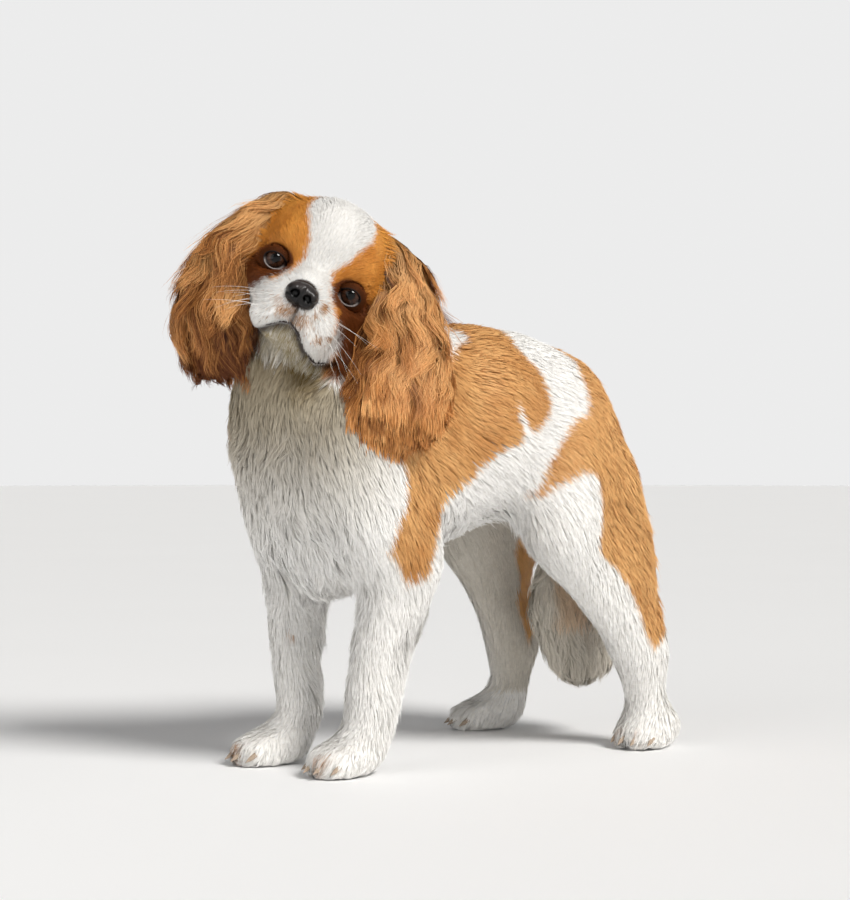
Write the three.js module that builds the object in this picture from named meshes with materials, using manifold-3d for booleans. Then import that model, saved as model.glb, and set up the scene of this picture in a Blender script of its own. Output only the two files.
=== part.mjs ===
// A standing cavalier king charles spaniel, life size, with its coat included in the outline.
// Millimetres, +Z up. The dog faces -Y, its left side is +X, and it stands on z = 0.
// Its head is turned towards its left and tilted, as in the photograph.
//
// The body is one smooth field of blended flesh masses. It is meshed at a few cell sizes, coarse on the
// trunk and fine on the head, and each named piece is parted from its neighbours by thin flat cuts.

import * as THREE from "three";
import Module from "manifold-3d";
import { mergeVertices } from "three/addons/utils/BufferGeometryUtils.js";

const wasm = await Module();
wasm.setup();

// Driving dimensions.
const CUT = 0.4; // width of the thin cut between two pieces
const CLEAR = 0.5; // room round the eyes and nose in their sockets
const LAID_ON = 1.6; // room between an ear or the tail and what it lies on
const SKULL = [5.3, -117.5, 359]; // centre of the braincase
const EYE_R = 10.2; // radius of an eyeball
const EYE = [28.6, 36.5, -14.8]; // left eye in the head's frame: left, forward, up
const NOSE = [0, 77.5, -28.5]; // centre of the nose leather, in the head's frame
const PAW_LENGTH = 62;
const PAW_WIDTH = 50;
const PAW_HEIGHT = 29;
const TAIL_TIP_Z = 38;
const CLAW_LENGTH = 10;

// The head's own axes. It is turned to the left of the body, and leans over on its left side.
const HEAD_FORWARD = new THREE.Vector3(0.7855, -0.6177, -0.042).normalize();
const HEAD_UP = new THREE.Vector3(0.3032, 0.3247, 0.896);
HEAD_UP.addScaledVector(HEAD_FORWARD, -HEAD_UP.dot(HEAD_FORWARD)).normalize();
const HEAD_LEFT = new THREE.Vector3().crossVectors(HEAD_UP, HEAD_FORWARD);
const HEAD_RIGHT = HEAD_LEFT.clone().negate();

// A point given as left, forward, up in the head's frame, in the dog's frame.
function inHead([left, forward, up]) {
  const p = new THREE.Vector3(...SKULL)
    .addScaledVector(HEAD_LEFT, left)
    .addScaledVector(HEAD_FORWARD, forward)
    .addScaledVector(HEAD_UP, up);
  return p.toArray();
}

// The head's frame as a rotation.
const headTurn = new THREE.Matrix4().makeBasis(HEAD_LEFT, HEAD_FORWARD, HEAD_UP);

// Fields. Each is a function of x, y, z that is negative inside, in millimetres near the surface.

// An ellipsoid at a centre, turned by an optional rotation matrix.
function ellipsoid(centre, radii, turn = new THREE.Matrix4()) {
  const e = turn.elements;
  const least = Math.min(...radii);
  return (x, y, z) => {
    const [dx, dy, dz] = [x - centre[0], y - centre[1], z - centre[2]];
    const a = (dx * e[0] + dy * e[1] + dz * e[2]) / radii[0];
    const b = (dx * e[4] + dy * e[5] + dz * e[6]) / radii[1];
    const c = (dx * e[8] + dy * e[9] + dz * e[10]) / radii[2];
    const k = Math.hypot(a, b, c);
    const g = Math.hypot(a / radii[0], b / radii[1], c / radii[2]);
    return g > 1e-6 ? (k * (k - 1)) / g : -least;
  };
}

// A limb through stations of [x, y, z, half width, half depth, half height], an ellipsoid swept along
// straight lines between them.
function limb(stations, turn = new THREE.Matrix4()) {
  const e = turn.elements;
  return (x, y, z) => {
    let best = Infinity;
    for (let i = 0; i + 1 < stations.length; i++) {
      const [p, q] = [stations[i], stations[i + 1]];
      const [ax, ay, az] = [q[0] - p[0], q[1] - p[1], q[2] - p[2]];
      const run = (x - p[0]) * ax + (y - p[1]) * ay + (z - p[2]) * az;
      const t = Math.min(1, Math.max(0, run / (ax * ax + ay * ay + az * az)));
      const [dx, dy, dz] = [x - p[0] - t * ax, y - p[1] - t * ay, z - p[2] - t * az];
      const [rx, ry, rz] = [3, 4, 5].map((j) => p[j] + t * (q[j] - p[j]));
      const a = (dx * e[0] + dy * e[1] + dz * e[2]) / rx;
      const b = (dx * e[4] + dy * e[5] + dz * e[6]) / ry;
      const c = (dx * e[8] + dy * e[9] + dz * e[10]) / rz;
      const k = Math.hypot(a, b, c);
      const g = Math.hypot(a / rx, b / ry, c / rz);
      const d = g > 1e-6 ? (k * (k - 1)) / g : -Math.min(rx, ry, rz);
      best = Math.min(best, d);
    }
    return best;
  };
}

// The union of fields, with fillets of about the given width where they meet.
function blend(width, ...fields) {
  return (x, y, z) => {
    let d = fields[0](x, y, z);
    for (let i = 1; i < fields.length; i++) {
      const other = fields[i](x, y, z);
      const h = Math.max(width - Math.abs(d - other), 0) / width;
      d = Math.min(d, other) - (h * h * width) / 4;
    }
    return d;
  };
}

// A field with others taken out of it, with a rounded edge.
function without(width, field, ...others) {
  return (x, y, z) => {
    let d = field(x, y, z);
    for (const other of others) {
      const o = -other(x, y, z);
      const h = Math.max(width - Math.abs(d - o), 0) / width;
      d = Math.max(d, o) + (h * h * width) / 4;
    }
    return d;
  };
}

const grown = (field, by) => (x, y, z) => field(x, y, z) - by;

// Meshing. A field becomes a closed mesh of quads, one vertex in each cell that the surface crosses,
// drawn onto the surface by its slope.
const CORNERS = [...Array(8).keys()].map((i) => [i & 1, (i >> 1) & 1, i >> 2]);
const EDGES = CORNERS.flatMap((a, i) =>
  CORNERS.map((b, j) => [i, j]).filter(
    ([m, n]) => m < n && CORNERS[m].reduce((s, c, k) => s + Math.abs(c - CORNERS[n][k]), 0) === 1,
  ),
);

function mesh(field, low, high, cell) {
  const count = low.map((l, k) => Math.ceil((high[k] - l) / cell) + 1);
  const at = (i, j, k) => i + count[0] * (j + count[1] * k);
  const values = new Float64Array(count[0] * count[1] * count[2]);
  for (let k = 0; k < count[2]; k++)
    for (let j = 0; j < count[1]; j++)
      for (let i = 0; i < count[0]; i++) {
        const outer = [i, j, k].some((n, a) => n === 0 || n === count[a] - 1);
        const d = field(low[0] + i * cell, low[1] + j * cell, low[2] + k * cell);
        values[at(i, j, k)] = outer ? Math.max(d, 0.3 * cell) : d;
      }
  const points = [];
  const vertex = new Map();
  for (let k = 0; k + 1 < count[2]; k++)
    for (let j = 0; j + 1 < count[1]; j++)
      for (let i = 0; i + 1 < count[0]; i++) {
        const v = CORNERS.map(([a, b, c]) => values[at(i + a, j + b, k + c)]);
        if (v.every((d) => d < 0) || v.every((d) => d >= 0)) continue;
        const sum = [0, 0, 0];
        let n = 0;
        for (const [a, b] of EDGES) {
          if (v[a] < 0 === v[b] < 0) continue;
          const t = v[a] / (v[a] - v[b]);
          for (let m = 0; m < 3; m++) sum[m] += CORNERS[a][m] + t * (CORNERS[b][m] - CORNERS[a][m]);
          n++;
        }
        const p = sum.map((s, m) => low[m] + ([i, j, k][m] + s / n) * cell);
        vertex.set(at(i, j, k), points.length / 3);
        points.push(...settle(field, p, low, high, cell));
      }
  const quads = [];
  const steps = [1, count[0], count[0] * count[1]];
  for (let k = 0; k + 1 < count[2]; k++)
    for (let j = 0; j + 1 < count[1]; j++)
      for (let i = 0; i + 1 < count[0]; i++)
        for (let axis = 0; axis < 3; axis++) {
          if ([i, j, k].some((n, a) => n === 0 && a !== axis)) continue;
          const here = at(i, j, k);
          const [a, b] = [values[here] < 0, values[here + steps[axis]] < 0];
          if (a === b) continue;
          const [u, v] = [steps[(axis + 1) % 3], steps[(axis + 2) % 3]];
          const ring = [here - u - v, here - v, here, here - u].map((c) => vertex.get(c));
          if (!a) ring.reverse();
          quads.push(ring);
        }
  const faces = quads.flatMap((q) => split(points, q));
  return { points: new Float32Array(points), faces: new Uint32Array(faces) };
}

// A vertex drawn onto the surface along the field's slope, but kept near its own cell.
function settle(field, p, low, high, cell) {
  const start = [...p];
  const h = cell * 0.05;
  for (let turn = 0; turn < 3; turn++) {
    const d = field(...p);
    const g = [0, 1, 2].map((m) => {
      const q = [...p];
      q[m] += h;
      return (field(...q) - d) / h;
    });
    const gg = g[0] ** 2 + g[1] ** 2 + g[2] ** 2;
    if (gg < 0.01) return start;
    for (let m = 0; m < 3; m++) {
      const moved = p[m] - (d * g[m]) / gg;
      p[m] = Math.min(start[m] + cell * 0.45, Math.max(start[m] - cell * 0.45, moved));
    }
  }
  const inside = p.every((c, m) => c > low[m] + cell && c < high[m] - cell);
  return inside ? p : start;
}

// Two triangles of a quad, parted along its shorter diagonal.
function split(points, [a, b, c, d]) {
  const far = (m, n) => [0, 1, 2].reduce((s, k) => s + (points[3 * m + k] - points[3 * n + k]) ** 2, 0);
  return far(a, c) < far(b, d) ? [a, b, c, a, c, d] : [a, b, d, b, c, d];
}

// The mesh with fewer faces where it is nearly flat. A vertex is drawn onto a neighbour that lies within
// the slack of every face that has met there.
function thinned({ points, faces }, slack, reach) {
  const at = (v) => new THREE.Vector3().fromArray(points, 3 * v);
  const planeOf = (face) => new THREE.Plane().setFromCoplanarPoints(...face.map(at));
  const corners = [];
  for (let i = 0; i < faces.length; i += 3) corners.push([...faces.subarray(i, i + 3)]);
  const meeting = [...Array(points.length / 3)].map(() => new Set());
  corners.forEach((face, i) => face.forEach((v) => meeting[v].add(i)));
  const planes = meeting.map((own) => [...own].map((i) => planeOf(corners[i])));
  const near = (v) => new Set([...meeting[v]].flatMap((i) => corners[i]).filter((w) => w !== v));

  const canMove = (v, w, around) => {
    if ([...near(w)].filter((other) => around.has(other)).length !== 2) return false;
    return [...meeting[v]].every((i) => {
      const face = corners[i];
      if (face.includes(w)) return true;
      const moved = face.map((other) => (other === v ? w : other));
      const longest = Math.max(...moved.map((a, k) => at(a).distanceTo(at(moved[(k + 1) % 3]))));
      return longest < reach && planeOf(moved).normal.dot(planeOf(face).normal) > 0.7;
    });
  };
  const move = (v, w) => {
    for (const i of meeting[v]) {
      const shared = corners[i].includes(w);
      if (shared) corners[i].forEach((other) => other !== v && meeting[other].delete(i));
      corners[i] = shared ? null : corners[i].map((other) => (other === v ? w : other));
      if (!shared) meeting[w].add(i);
    }
    meeting[v].clear();
    planes[w].push(...planes[v]);
  };

  for (let moves = -1; moves !== 0; ) {
    moves = 0;
    for (let v = 0; v < meeting.length; v++) {
      if (meeting[v].size === 0) continue;
      const around = near(v);
      const ways = [...around].map((w) => {
        const off = Math.max(...planes[v].map((plane) => Math.abs(plane.distanceToPoint(at(w)))));
        return { w, off };
      });
      const good = ways.filter((way) => way.off < slack).sort((a, b) => a.off - b.off);
      const best = good.find((way) => canMove(v, way.w, around));
      if (!best) continue;
      move(v, best.w);
      moves++;
    }
  }
  const left = corners.filter((face) => face);
  const used = [...new Set(left.flat())];
  const place = new Map(used.map((v, i) => [v, i]));
  return {
    points: new Float32Array(used.flatMap((v) => at(v).toArray())),
    faces: new Uint32Array(left.flat().map((v) => place.get(v))),
  };
}

// Solids.
function solidOfArrays(points, faces) {
  return new wasm.Manifold(new wasm.Mesh({ numProp: 3, vertProperties: points, triVerts: faces }));
}

function solidOfField(field, low, high, cell, slack = 0.2 * cell) {
  const made = thinned(mesh(field, low, high, cell), slack, 4 * cell);
  return solidOfArrays(made.points, made.faces);
}

function solidOfGeometry(geometry, matrix = new THREE.Matrix4()) {
  const bare = geometry.clone().applyMatrix4(matrix);
  for (const name of ["normal", "uv"]) bare.deleteAttribute(name);
  const merged = mergeVertices(bare, 1e-3);
  return solidOfArrays(merged.attributes.position.array, new Uint32Array(merged.index.array));
}

// The half of space on the side that the normal points to, set back from the plane by half a cut.
const REACH = 1200;
function side(point, normal, back = CUT / 2) {
  const n = new THREE.Vector3(...normal).normalize();
  const turn = new THREE.Quaternion().setFromUnitVectors(new THREE.Vector3(0, 0, 1), n);
  const centre = new THREE.Vector3(...point).addScaledVector(n, REACH / 2 + back);
  const matrix = new THREE.Matrix4().compose(centre, turn, new THREE.Vector3(1, 1, 1));
  return solidOfGeometry(new THREE.BoxGeometry(REACH, REACH, REACH), matrix);
}

// What of a solid lies on the kept side of every cut, and what is left when that is taken away.
const kept = (solid, ...cuts) => cuts.reduce((s, [p, n]) => s.intersect(side(p, n)), solid);
const leftOver = (solid, cuts) =>
  solid.subtract(cuts.map(([p, n]) => side(p, n, -CUT / 2)).reduce((a, b) => a.intersect(b)));
const largest = (solid) => solid.decompose().sort((a, b) => b.volume() - a.volume())[0];

// Flesh masses, each with its coat. Stations are [x, y, z, half width, half depth, half height].
const ribs = limb([
  [0, -94, 218, 60, 56, 74],
  [0, -50, 228, 69, 60, 84],
  [0, 8, 244, 67, 50, 71],
]);
const loin = limb([
  [0, 8, 244, 67, 50, 71],
  [0, 58, 251, 57, 42, 68],
  [0, 98, 245, 53, 40, 58],
]);
const rump = ellipsoid([0, 106, 238], [54, 48, 57]);
const breast = limb([
  [0, -108, 160, 32, 36, 42],
  [0, -124, 206, 48, 38, 46],
  [-12, -127, 268, 56, 43, 43],
]);
const nape = limb([
  [0, -62, 270, 54, 50, 46],
  [-9, -98, 300, 51, 50, 42],
  [-15, -112, 326, 46, 46, 38],
]);
const shoulders = [1, -1].map((s) =>
  limb([
    [s * 30, -66, 278, 28, 34, 34],
    [s * 48, -115, 232, 31, 38, 42],
    [s * 53, -104, 176, 27, 37, 38],
  ]),
);

// A foreleg, from the elbow to the wrist. The fringe trails behind the forearm.
function foreleg(elbow, knee, wrist, fringe) {
  const bone = limb([
    [...elbow, 24, 30, 32],
    [...knee, 18.5, 19.5, 20],
    [...wrist, 16, 16.5, 17],
  ]);
  const feather = limb([
    [elbow[0] - 1, elbow[1] + 10, elbow[2] - 14, 12, 18, 20],
    [knee[0], knee[1] + fringe, knee[2] - 4, 9, 13, 20],
    [wrist[0] + 1, wrist[1] + fringe * 0.8, wrist[2] - 6, 9, 12, 20],
  ]);
  return blend(14, bone, feather);
}

// A hind leg, through the thigh, stifle, hock and rear pastern, with the thigh's feathering behind.
function hindleg(hip, stifle, hock, heel) {
  const between = (a, b, t) => a.map((c, m) => c + t * (b[m] - c));
  const thigh = limb([
    [...hip, 27, 42, 42],
    [...between(hip, stifle, 0.62), 27, 42, 38],
    [...stifle, 21, 29, 28],
  ]);
  const shank = limb([
    [...stifle, 21, 29, 28],
    [...between(stifle, hock, 0.55), 18, 23, 24],
    [...hock, 14, 18, 19],
  ]);
  const pastern = limb([
    [...hock, 14, 17, 19],
    [...heel, 15, 16, 17],
  ]);
  const culotte = limb([
    [hip[0] + 8, hip[1] + 45, hip[2] - 40, 22, 26, 36],
    [hock[0] - 3, hock[1] - 6, hock[2] + 64, 17, 23, 32],
    [hock[0] - 1, hock[1] - 3, hock[2] + 22, 11, 15, 22],
  ]);
  return blend(24, thigh, shank, pastern, culotte);
}

const foreLegs = {
  left: foreleg([56, -84, 150], [47, -102, 92], [42, -109, 44], 20),
  right: foreleg([-55, -92, 150], [-43, -109, 92], [-37, -108, 44], 10),
};
const hindLegs = {
  left: hindleg([40, 86, 232], [60, 62, 170], [68, 139, 72], [70, 143, 30]),
  right: hindleg([-40, 84, 232], [-60, 76, 168], [-73, 136, 70], [-76, 134, 30]),
};

const tail = limb([
  [0, 132, 264, 15, 16, 16],
  [0, 152, 240, 16, 18, 22],
  [0, 158, 200, 18, 25, 26],
  [-1, 144, 150, 21, 43, 30],
  [-2, 136, 104, 23, 51, 30],
  [-2, 144, TAIL_TIP_Z + 28, 18, 38, 28],
]);

// Paws. Each is a heel with four toes fanned in front of it, in a frame turned by its toe-out.
const TOES = [-1.5, -0.5, 0.5, 1.5];
const TOE_PITCH = PAW_WIDTH / 4.6;

function pawFrame({ centre, toeOut }) {
  const forward = new THREE.Vector3(Math.sin(toeOut), -Math.cos(toeOut), 0);
  const up = new THREE.Vector3(0, 0, 1);
  const right = new THREE.Vector3().crossVectors(forward, up);
  return new THREE.Matrix4().makeBasis(right, forward, up).setPosition(centre[0], centre[1], 0);
}

function paw(stance) {
  const turn = pawFrame(stance);
  const at = (across, ahead, up) => new THREE.Vector3(across, ahead, up).applyMatrix4(turn).toArray();
  const heel = ellipsoid(at(0, -9, 15), [PAW_WIDTH * 0.44, PAW_LENGTH * 0.36, PAW_HEIGHT * 0.62], turn);
  const toes = TOES.map((n) => {
    const ahead = PAW_LENGTH * (Math.abs(n) < 1 ? 0.27 : 0.16);
    return ellipsoid(at(n * TOE_PITCH, ahead, 10), [7.4, PAW_LENGTH * 0.23, PAW_HEIGHT * 0.45], turn);
  });
  return blend(9, heel, blend(4, ...toes));
}

const STANCES = {
  forepaw_left: { centre: [37, -121], toeOut: 0.02 },
  forepaw_right: { centre: [-42, -128], toeOut: -0.22 },
  hindpaw_left: { centre: [72, 143], toeOut: 0.2 },
  hindpaw_right: { centre: [-86, 118], toeOut: -0.45 },
};
const paws = Object.values(STANCES).map(paw);

// The head, in its own frame: left, forward, up.
const lump = (centre, radii) => ellipsoid(inHead(centre), radii, headTurn);
const pair = (make) => [make(1), make(-1)];

const cranium = lump([0, -9, 0], [49, 56, 48]);
const forehead = lump([0, 25, 2], [34, 22, 32]);
const brows = pair((s) => lump([s * 23, 31, 1], [15, 13, 12]));
const cheeks = pair((s) => lump([s * 30, 12, -27], [17, 32, 22]));
const bridge = lump([0, 55, -23], [16, 27, 14]);
const muzzle = lump([0, 56, -33], [23, 23, 17]);
const flews = pair((s) => lump([2.5 + s * 16.5, 57, -43], [14.5, 21, 20]));
const undereye = pair((s) => lump([s * 24, 40, -29], [14, 16, 13]));
const jaw = lump([0, 44, -55], [17, 27, 12.5]);
const throat = lump([0, 4, -44], [30, 34, 24]);

const upperHead = blend(
  11,
  blend(16, cranium, forehead, ...cheeks),
  ...brows,
  ...undereye,
  bridge,
  muzzle,
  ...flews,
);
const sockets = pair((s) => lump([s * EYE[0], EYE[1] + 9, EYE[2] - 0.5], [9.5, 9, 7.5]));
const carvedHead = without(5, upperHead, ...sockets);
const noseLeather = blend(
  5,
  lump(NOSE, [11, 8.5, 10]),
  ...pair((s) => lump([NOSE[0] + s * 7.5, NOSE[1] - 0.5, NOSE[2] - 1.5], [5.5, 8, 7.6])),
);
const nostrils = pair((s) => lump([NOSE[0] + s * 5.4, NOSE[1] + 8.5, NOSE[2] - 1], [2.3, 4, 2.9]));
const nose = without(1, noseLeather, ...nostrils);

// The whole dog but for its ears and tail: one blended field.
const trunk = blend(28, ribs, loin, rump, breast, nape, ...shoulders);
const limbs = blend(10, ...Object.values(foreLegs), ...Object.values(hindLegs));
const torso = blend(18, trunk, limbs);
const neckAndHead = blend(16, carvedHead, throat, jaw);
const body = blend(12, blend(18, torso, neckAndHead), ...paws);

// Ears: long hanging flaps that broaden towards a rounded end.
function ear(across, stations) {
  const wide = new THREE.Vector3(...across).normalize();
  const thick = new THREE.Vector3(0, 0, 1).cross(wide).normalize();
  const turn = new THREE.Matrix4().makeBasis(wide, thick, new THREE.Vector3(0, 0, 1));
  return limb(stations, turn);
}
const ears = {
  ear_left: ear(
    [0.42, 0.907, 0],
    [
      [29, -80, 371, 17, 11, 12],
      [45, -76, 342, 25, 12, 22],
      [57, -83, 316, 30, 12, 26],
      [67, -92, 294, 34, 12, 26],
      [76, -101, 271, 38, 12.5, 28],
      [82, -109, 250, 37, 12, 29],
    ],
  ),
  ear_right: ear(
    [0.94, 0.34, 0],
    [
      [-17, -138, 402, 20, 10, 13],
      [-23, -164, 380, 24, 12, 18],
      [-30, -184, 350, 30, 13, 24],
      [-35, -191, 320, 34, 13, 26],
      [-35, -183, 294, 30, 12, 24],
    ],
  ),
};

// Solids of the body over the range of their pieces, each as fine as those need: cell, then slack.
const trunkSolid = solidOfField(body, [-122, -213, 62], [125, 200, 400], 11, 2.6);
const legSolid = solidOfField(body, [-125, -215, 10], [125, 200, 260], 9, 2.5);
const pawSolid = solidOfField(body, [-130, -215, -15], [130, 200, 50], 6.8, 2.2);
const headSolid = solidOfField(body, [-75, -230, 262], [110, -40, 430], 5.6, 1.55);

// Cuts. Each is a point on a plane and the normal that points to the side kept. A region is where
// several of them meet.
const headRegion = [
  [inHead([0, 10, -64]), [0.45, -0.12, 0.885]],
  [[0, -52, 0], [0, -1, 0]],
];
const aboveChest = [[0, -92, 280], [0, -0.524, 0.852]];
const beforeLoin = [[0, 18, 250], [0, -1, 0]];
const behindLoin = [[0, 78, 250], [0, 1, 0]];
const aboveWrist = [[0, 0, 33], [0, 0, 1]];
const reversed = ([point, normal]) => [point, normal.map((c) => -c)];
const foreRegion = (s) => [
  [[s * 28, 0, 150], [s * 0.6, 0, -0.8]],
  [[s * 10, 0, 0], [s, 0, 0]],
  [[0, -22, 0], [0, -1, 0]],
];
const hindRegion = (s) => [
  [[s * 40, 0, 200], [s * 0.8, 0, -0.6]],
  [[0, 45, 200], [0, 0.8, -0.6]],
  [[0, 0, 0], [s, 0, 0]],
];
const belowStifle = [[0, 90, 142], [0, 0.62, -0.78]];

const legRegions = [foreRegion(1), foreRegion(-1), hindRegion(1), hindRegion(-1)];
const trunkOnly = legRegions.reduce(leftOver, trunkSolid);

const pieces = {};
pieces.neck = leftOver(kept(trunkOnly, aboveChest, beforeLoin), headRegion);
pieces.chest = kept(trunkOnly, reversed(aboveChest), beforeLoin);
pieces.loin = kept(trunkOnly, reversed(beforeLoin), reversed(behindLoin));
pieces.rump = kept(trunkOnly, behindLoin);

for (const [name, s] of [["left", 1], ["right", -1]]) {
  pieces[`foreleg_${name}`] = kept(legSolid, ...foreRegion(s), aboveWrist);
  pieces[`thigh_${name}`] = kept(legSolid, ...hindRegion(s), reversed(belowStifle));
  pieces[`shank_${name}`] = kept(legSolid, ...hindRegion(s), belowStifle, aboveWrist);
}

// The tail is carved to lie against the rump.
const rumpRoom = solidOfField(grown(body, 1.5 * LAID_ON), [-60, 60, 15], [60, 215, 310], 9.5);
pieces.tail = solidOfField(tail, [-40, 60, 15], [40, 215, 300], 9.5, 2.4).subtract(rumpRoom);

// The head keeps sockets for the eyes, the nose leather and the lower jaw.
const NOSE_BOX = [inHead(NOSE).map((c) => c - 24), inHead(NOSE).map((c) => c + 24)];
const ball = (centre, radii) => {
  const place = new THREE.Matrix4()
    .makeBasis(HEAD_RIGHT, HEAD_FORWARD, HEAD_UP)
    .setPosition(...inHead(centre))
    .scale(new THREE.Vector3(...radii));
  return solidOfGeometry(new THREE.SphereGeometry(1, 14, 10), place);
};
const eyeball = (s, radius) => ball([s * EYE[0], EYE[1], EYE[2]], [radius, radius, radius]);
const jawSpace = (extra) => ball([0, 50, -62], [16 + extra, 40 + extra, 17 + extra]);
const wholeHead = kept(headSolid, ...headRegion, aboveChest);
pieces.head = wholeHead
  .subtract(solidOfField(grown(noseLeather, CLEAR), ...NOSE_BOX, 3.2, 0.4))
  .subtract(jawSpace(CUT))
  .subtract(eyeball(1, EYE_R + CLEAR))
  .subtract(eyeball(-1, EYE_R + CLEAR));
pieces.lower_jaw = wholeHead.intersect(jawSpace(0));
pieces.nose = solidOfField(nose, ...NOSE_BOX, 2.8, 0.5);
pieces.eye_left = eyeball(1, EYE_R);
pieces.eye_right = eyeball(-1, EYE_R);

// The ears are carved to lie against the head and neck.
const EAR_BOXES = {
  ear_left: [[-10, -180, 190], [140, -20, 410]],
  ear_right: [[-110, -245, 240], [30, -95, 440]],
};
for (const [name, field] of Object.entries(ears)) {
  const headRoom = solidOfField(grown(body, LAID_ON), ...EAR_BOXES[name], 8);
  pieces[name] = solidOfField(field, ...EAR_BOXES[name], 8, 2).subtract(headRoom);
}

// A claw is a small cone that comes out of its toe, forward and down.
function claw(stance, n, extra) {
  const profile = [
    [0, -extra],
    [2.1 + extra, -extra],
    [1.7 + extra, CLAW_LENGTH / 2],
    [0, CLAW_LENGTH + extra],
  ].map(([radius, along]) => new THREE.Vector2(radius, along));
  const ahead = PAW_LENGTH * (Math.abs(n) < 1 ? 0.27 : 0.16) + PAW_LENGTH * 0.23 - 5;
  const place = new THREE.Matrix4()
    .makeTranslation(n * TOE_PITCH, ahead, 9.5)
    .premultiply(pawFrame(stance))
    .multiply(new THREE.Matrix4().makeRotationX(-0.55));
  return solidOfGeometry(new THREE.LatheGeometry(profile, 6), place);
}
for (const [name, stance] of Object.entries(STANCES)) {
  const [x, y] = stance.centre;
  const ownSide = [[0, 0, 0], [Math.sign(x), 0, 0]];
  const ownEnd = [[0, 0, 0], [0, Math.sign(y), 0]];
  const onFloor = pawSolid.intersect(side([0, 0, 0], [0, 0, 1], 0));
  let foot = kept(onFloor, reversed(aboveWrist), ownSide, ownEnd);
  TOES.forEach((n, i) => {
    pieces[`claw_${name}_${i + 1}`] = claw(stance, n, 0);
    foot = foot.subtract(claw(stance, n, 0.4));
  });
  pieces[name] = foot;
}

// Finishes, with the colour, roughness and metalness of each.
const FINISHES = {
  chestnut: [0xa5632f, 0.75, 0],
  white: [0xe4e0da, 0.75, 0],
  eye: [0x1d100a, 0.08, 0],
  nose: [0x1b1718, 0.35, 0],
  claw: [0x2b2420, 0.4, 0],
};
const finishOf = (name) => {
  if (name.startsWith("claw")) return "claw";
  if (name.startsWith("eye")) return "eye";
  if (name === "nose") return "nose";
  return /ear|loin|rump|thigh/.test(name) ? "chestnut" : "white";
};

const group = new THREE.Group();
for (const [name, solid] of Object.entries(pieces)) {
  const made = largest(solid).getMesh();
  const geometry = new THREE.BufferGeometry();
  geometry.setAttribute("position", new THREE.BufferAttribute(new Float32Array(made.vertProperties), 3));
  geometry.setIndex(new THREE.BufferAttribute(new Uint32Array(made.triVerts), 1));
  const [color, roughness, metalness] = FINISHES[finishOf(name)];
  const piece = new THREE.Mesh(geometry, new THREE.MeshStandardMaterial({ color, roughness, metalness }));
  piece.name = name;
  group.add(piece);
}

// The origin is at the middle of the bounding box, on the floor.
group.updateMatrixWorld(true);
const bounds = new THREE.Box3().setFromObject(group, true);
const middle = bounds.getCenter(new THREE.Vector3());
group.position.set(-middle.x, -middle.y, -bounds.min.z);

export default group;
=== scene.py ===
"""A cavalier king charles spaniel, life size, standing with its head turned and tilted.

The coat is made of mesh hairs over one skin. Sizes in the tables are millimetres in the dog's own
frame: it faces -Y, its left side is +X and the floor is z = 0.
"""

import math

import bmesh
import bpy
import numpy as np
from bpy.props import FloatProperty, FloatVectorProperty, IntProperty, PointerProperty
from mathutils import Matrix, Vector
from mathutils.bvhtree import BVHTree
from mathutils.kdtree import KDTree


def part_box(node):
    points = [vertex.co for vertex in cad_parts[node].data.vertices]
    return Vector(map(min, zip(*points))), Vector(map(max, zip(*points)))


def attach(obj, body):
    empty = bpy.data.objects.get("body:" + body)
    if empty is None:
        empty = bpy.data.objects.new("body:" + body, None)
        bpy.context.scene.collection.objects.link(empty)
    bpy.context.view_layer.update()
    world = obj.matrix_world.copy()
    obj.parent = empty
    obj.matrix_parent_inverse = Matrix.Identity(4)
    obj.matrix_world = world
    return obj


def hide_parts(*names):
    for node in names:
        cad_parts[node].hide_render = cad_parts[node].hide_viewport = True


bl_info = {
    "name": "Toy spaniel",
    "version": (1, 0, 0),
    "blender": (4, 5, 0),
    "location": "View3D > Sidebar > Spaniel",
    "description": "Makes a standing toy spaniel with a chestnut and white mesh coat",
    "category": "Add Mesh",
}

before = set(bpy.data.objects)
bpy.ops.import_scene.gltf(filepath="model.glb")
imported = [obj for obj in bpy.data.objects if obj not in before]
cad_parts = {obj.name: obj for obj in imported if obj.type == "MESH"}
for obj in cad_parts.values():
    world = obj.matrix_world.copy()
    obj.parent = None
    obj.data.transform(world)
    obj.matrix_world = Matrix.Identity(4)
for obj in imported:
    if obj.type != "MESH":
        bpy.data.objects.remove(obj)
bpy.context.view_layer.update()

# The head's own axes in the dog's frame, and the middle of its braincase.
SKULL = np.array([5.3, -117.5, 359.0])
FORWARD = np.array([0.7854, -0.6176, -0.042])
UP = np.array([0.3032, 0.3246, 0.8959])
LEFT = np.array([0.5397, 0.7164, -0.4422])
HEAD = np.array([LEFT, FORWARD, UP])

# The eyes and nose, as left, forward, up in the head's frame.
EYE = np.array([28.6, 36.5, -14.8])
EYE_RADIUS = 10.2
NOSE = np.array([0.0, 77.5, -28.5])


def head_point(place):
    """Places given as left, forward, up in the head's frame, in the dog's frame."""
    return SKULL + np.asarray(place, float) @ HEAD


def in_head(points):
    """Points of the dog's frame as left, forward, up in the head's frame."""
    return (np.asarray(points, float) - SKULL) @ HEAD.T


def box_middle(node):
    low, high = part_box(node)
    return (np.array(low) + np.array(high)) / 2


# The dog's own origin in the frame of the scene, in metres.
ORIGIN = box_middle("eye_left") - head_point(EYE) / 1000


def to_scene(points):
    return np.asarray(points, float) / 1000 + ORIGIN


def to_dog(points):
    return (np.asarray(points, float) - ORIGIN) * 1000


# The paws: middle on the floor, and how far the toes turn out.
STANCES = {
    "forepaw_left": ((37, -121), 0.02),
    "forepaw_right": ((-42, -128), -0.22),
    "hindpaw_left": ((72, 143), 0.2),
    "hindpaw_right": ((-86, 118), -0.45),
}

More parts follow.
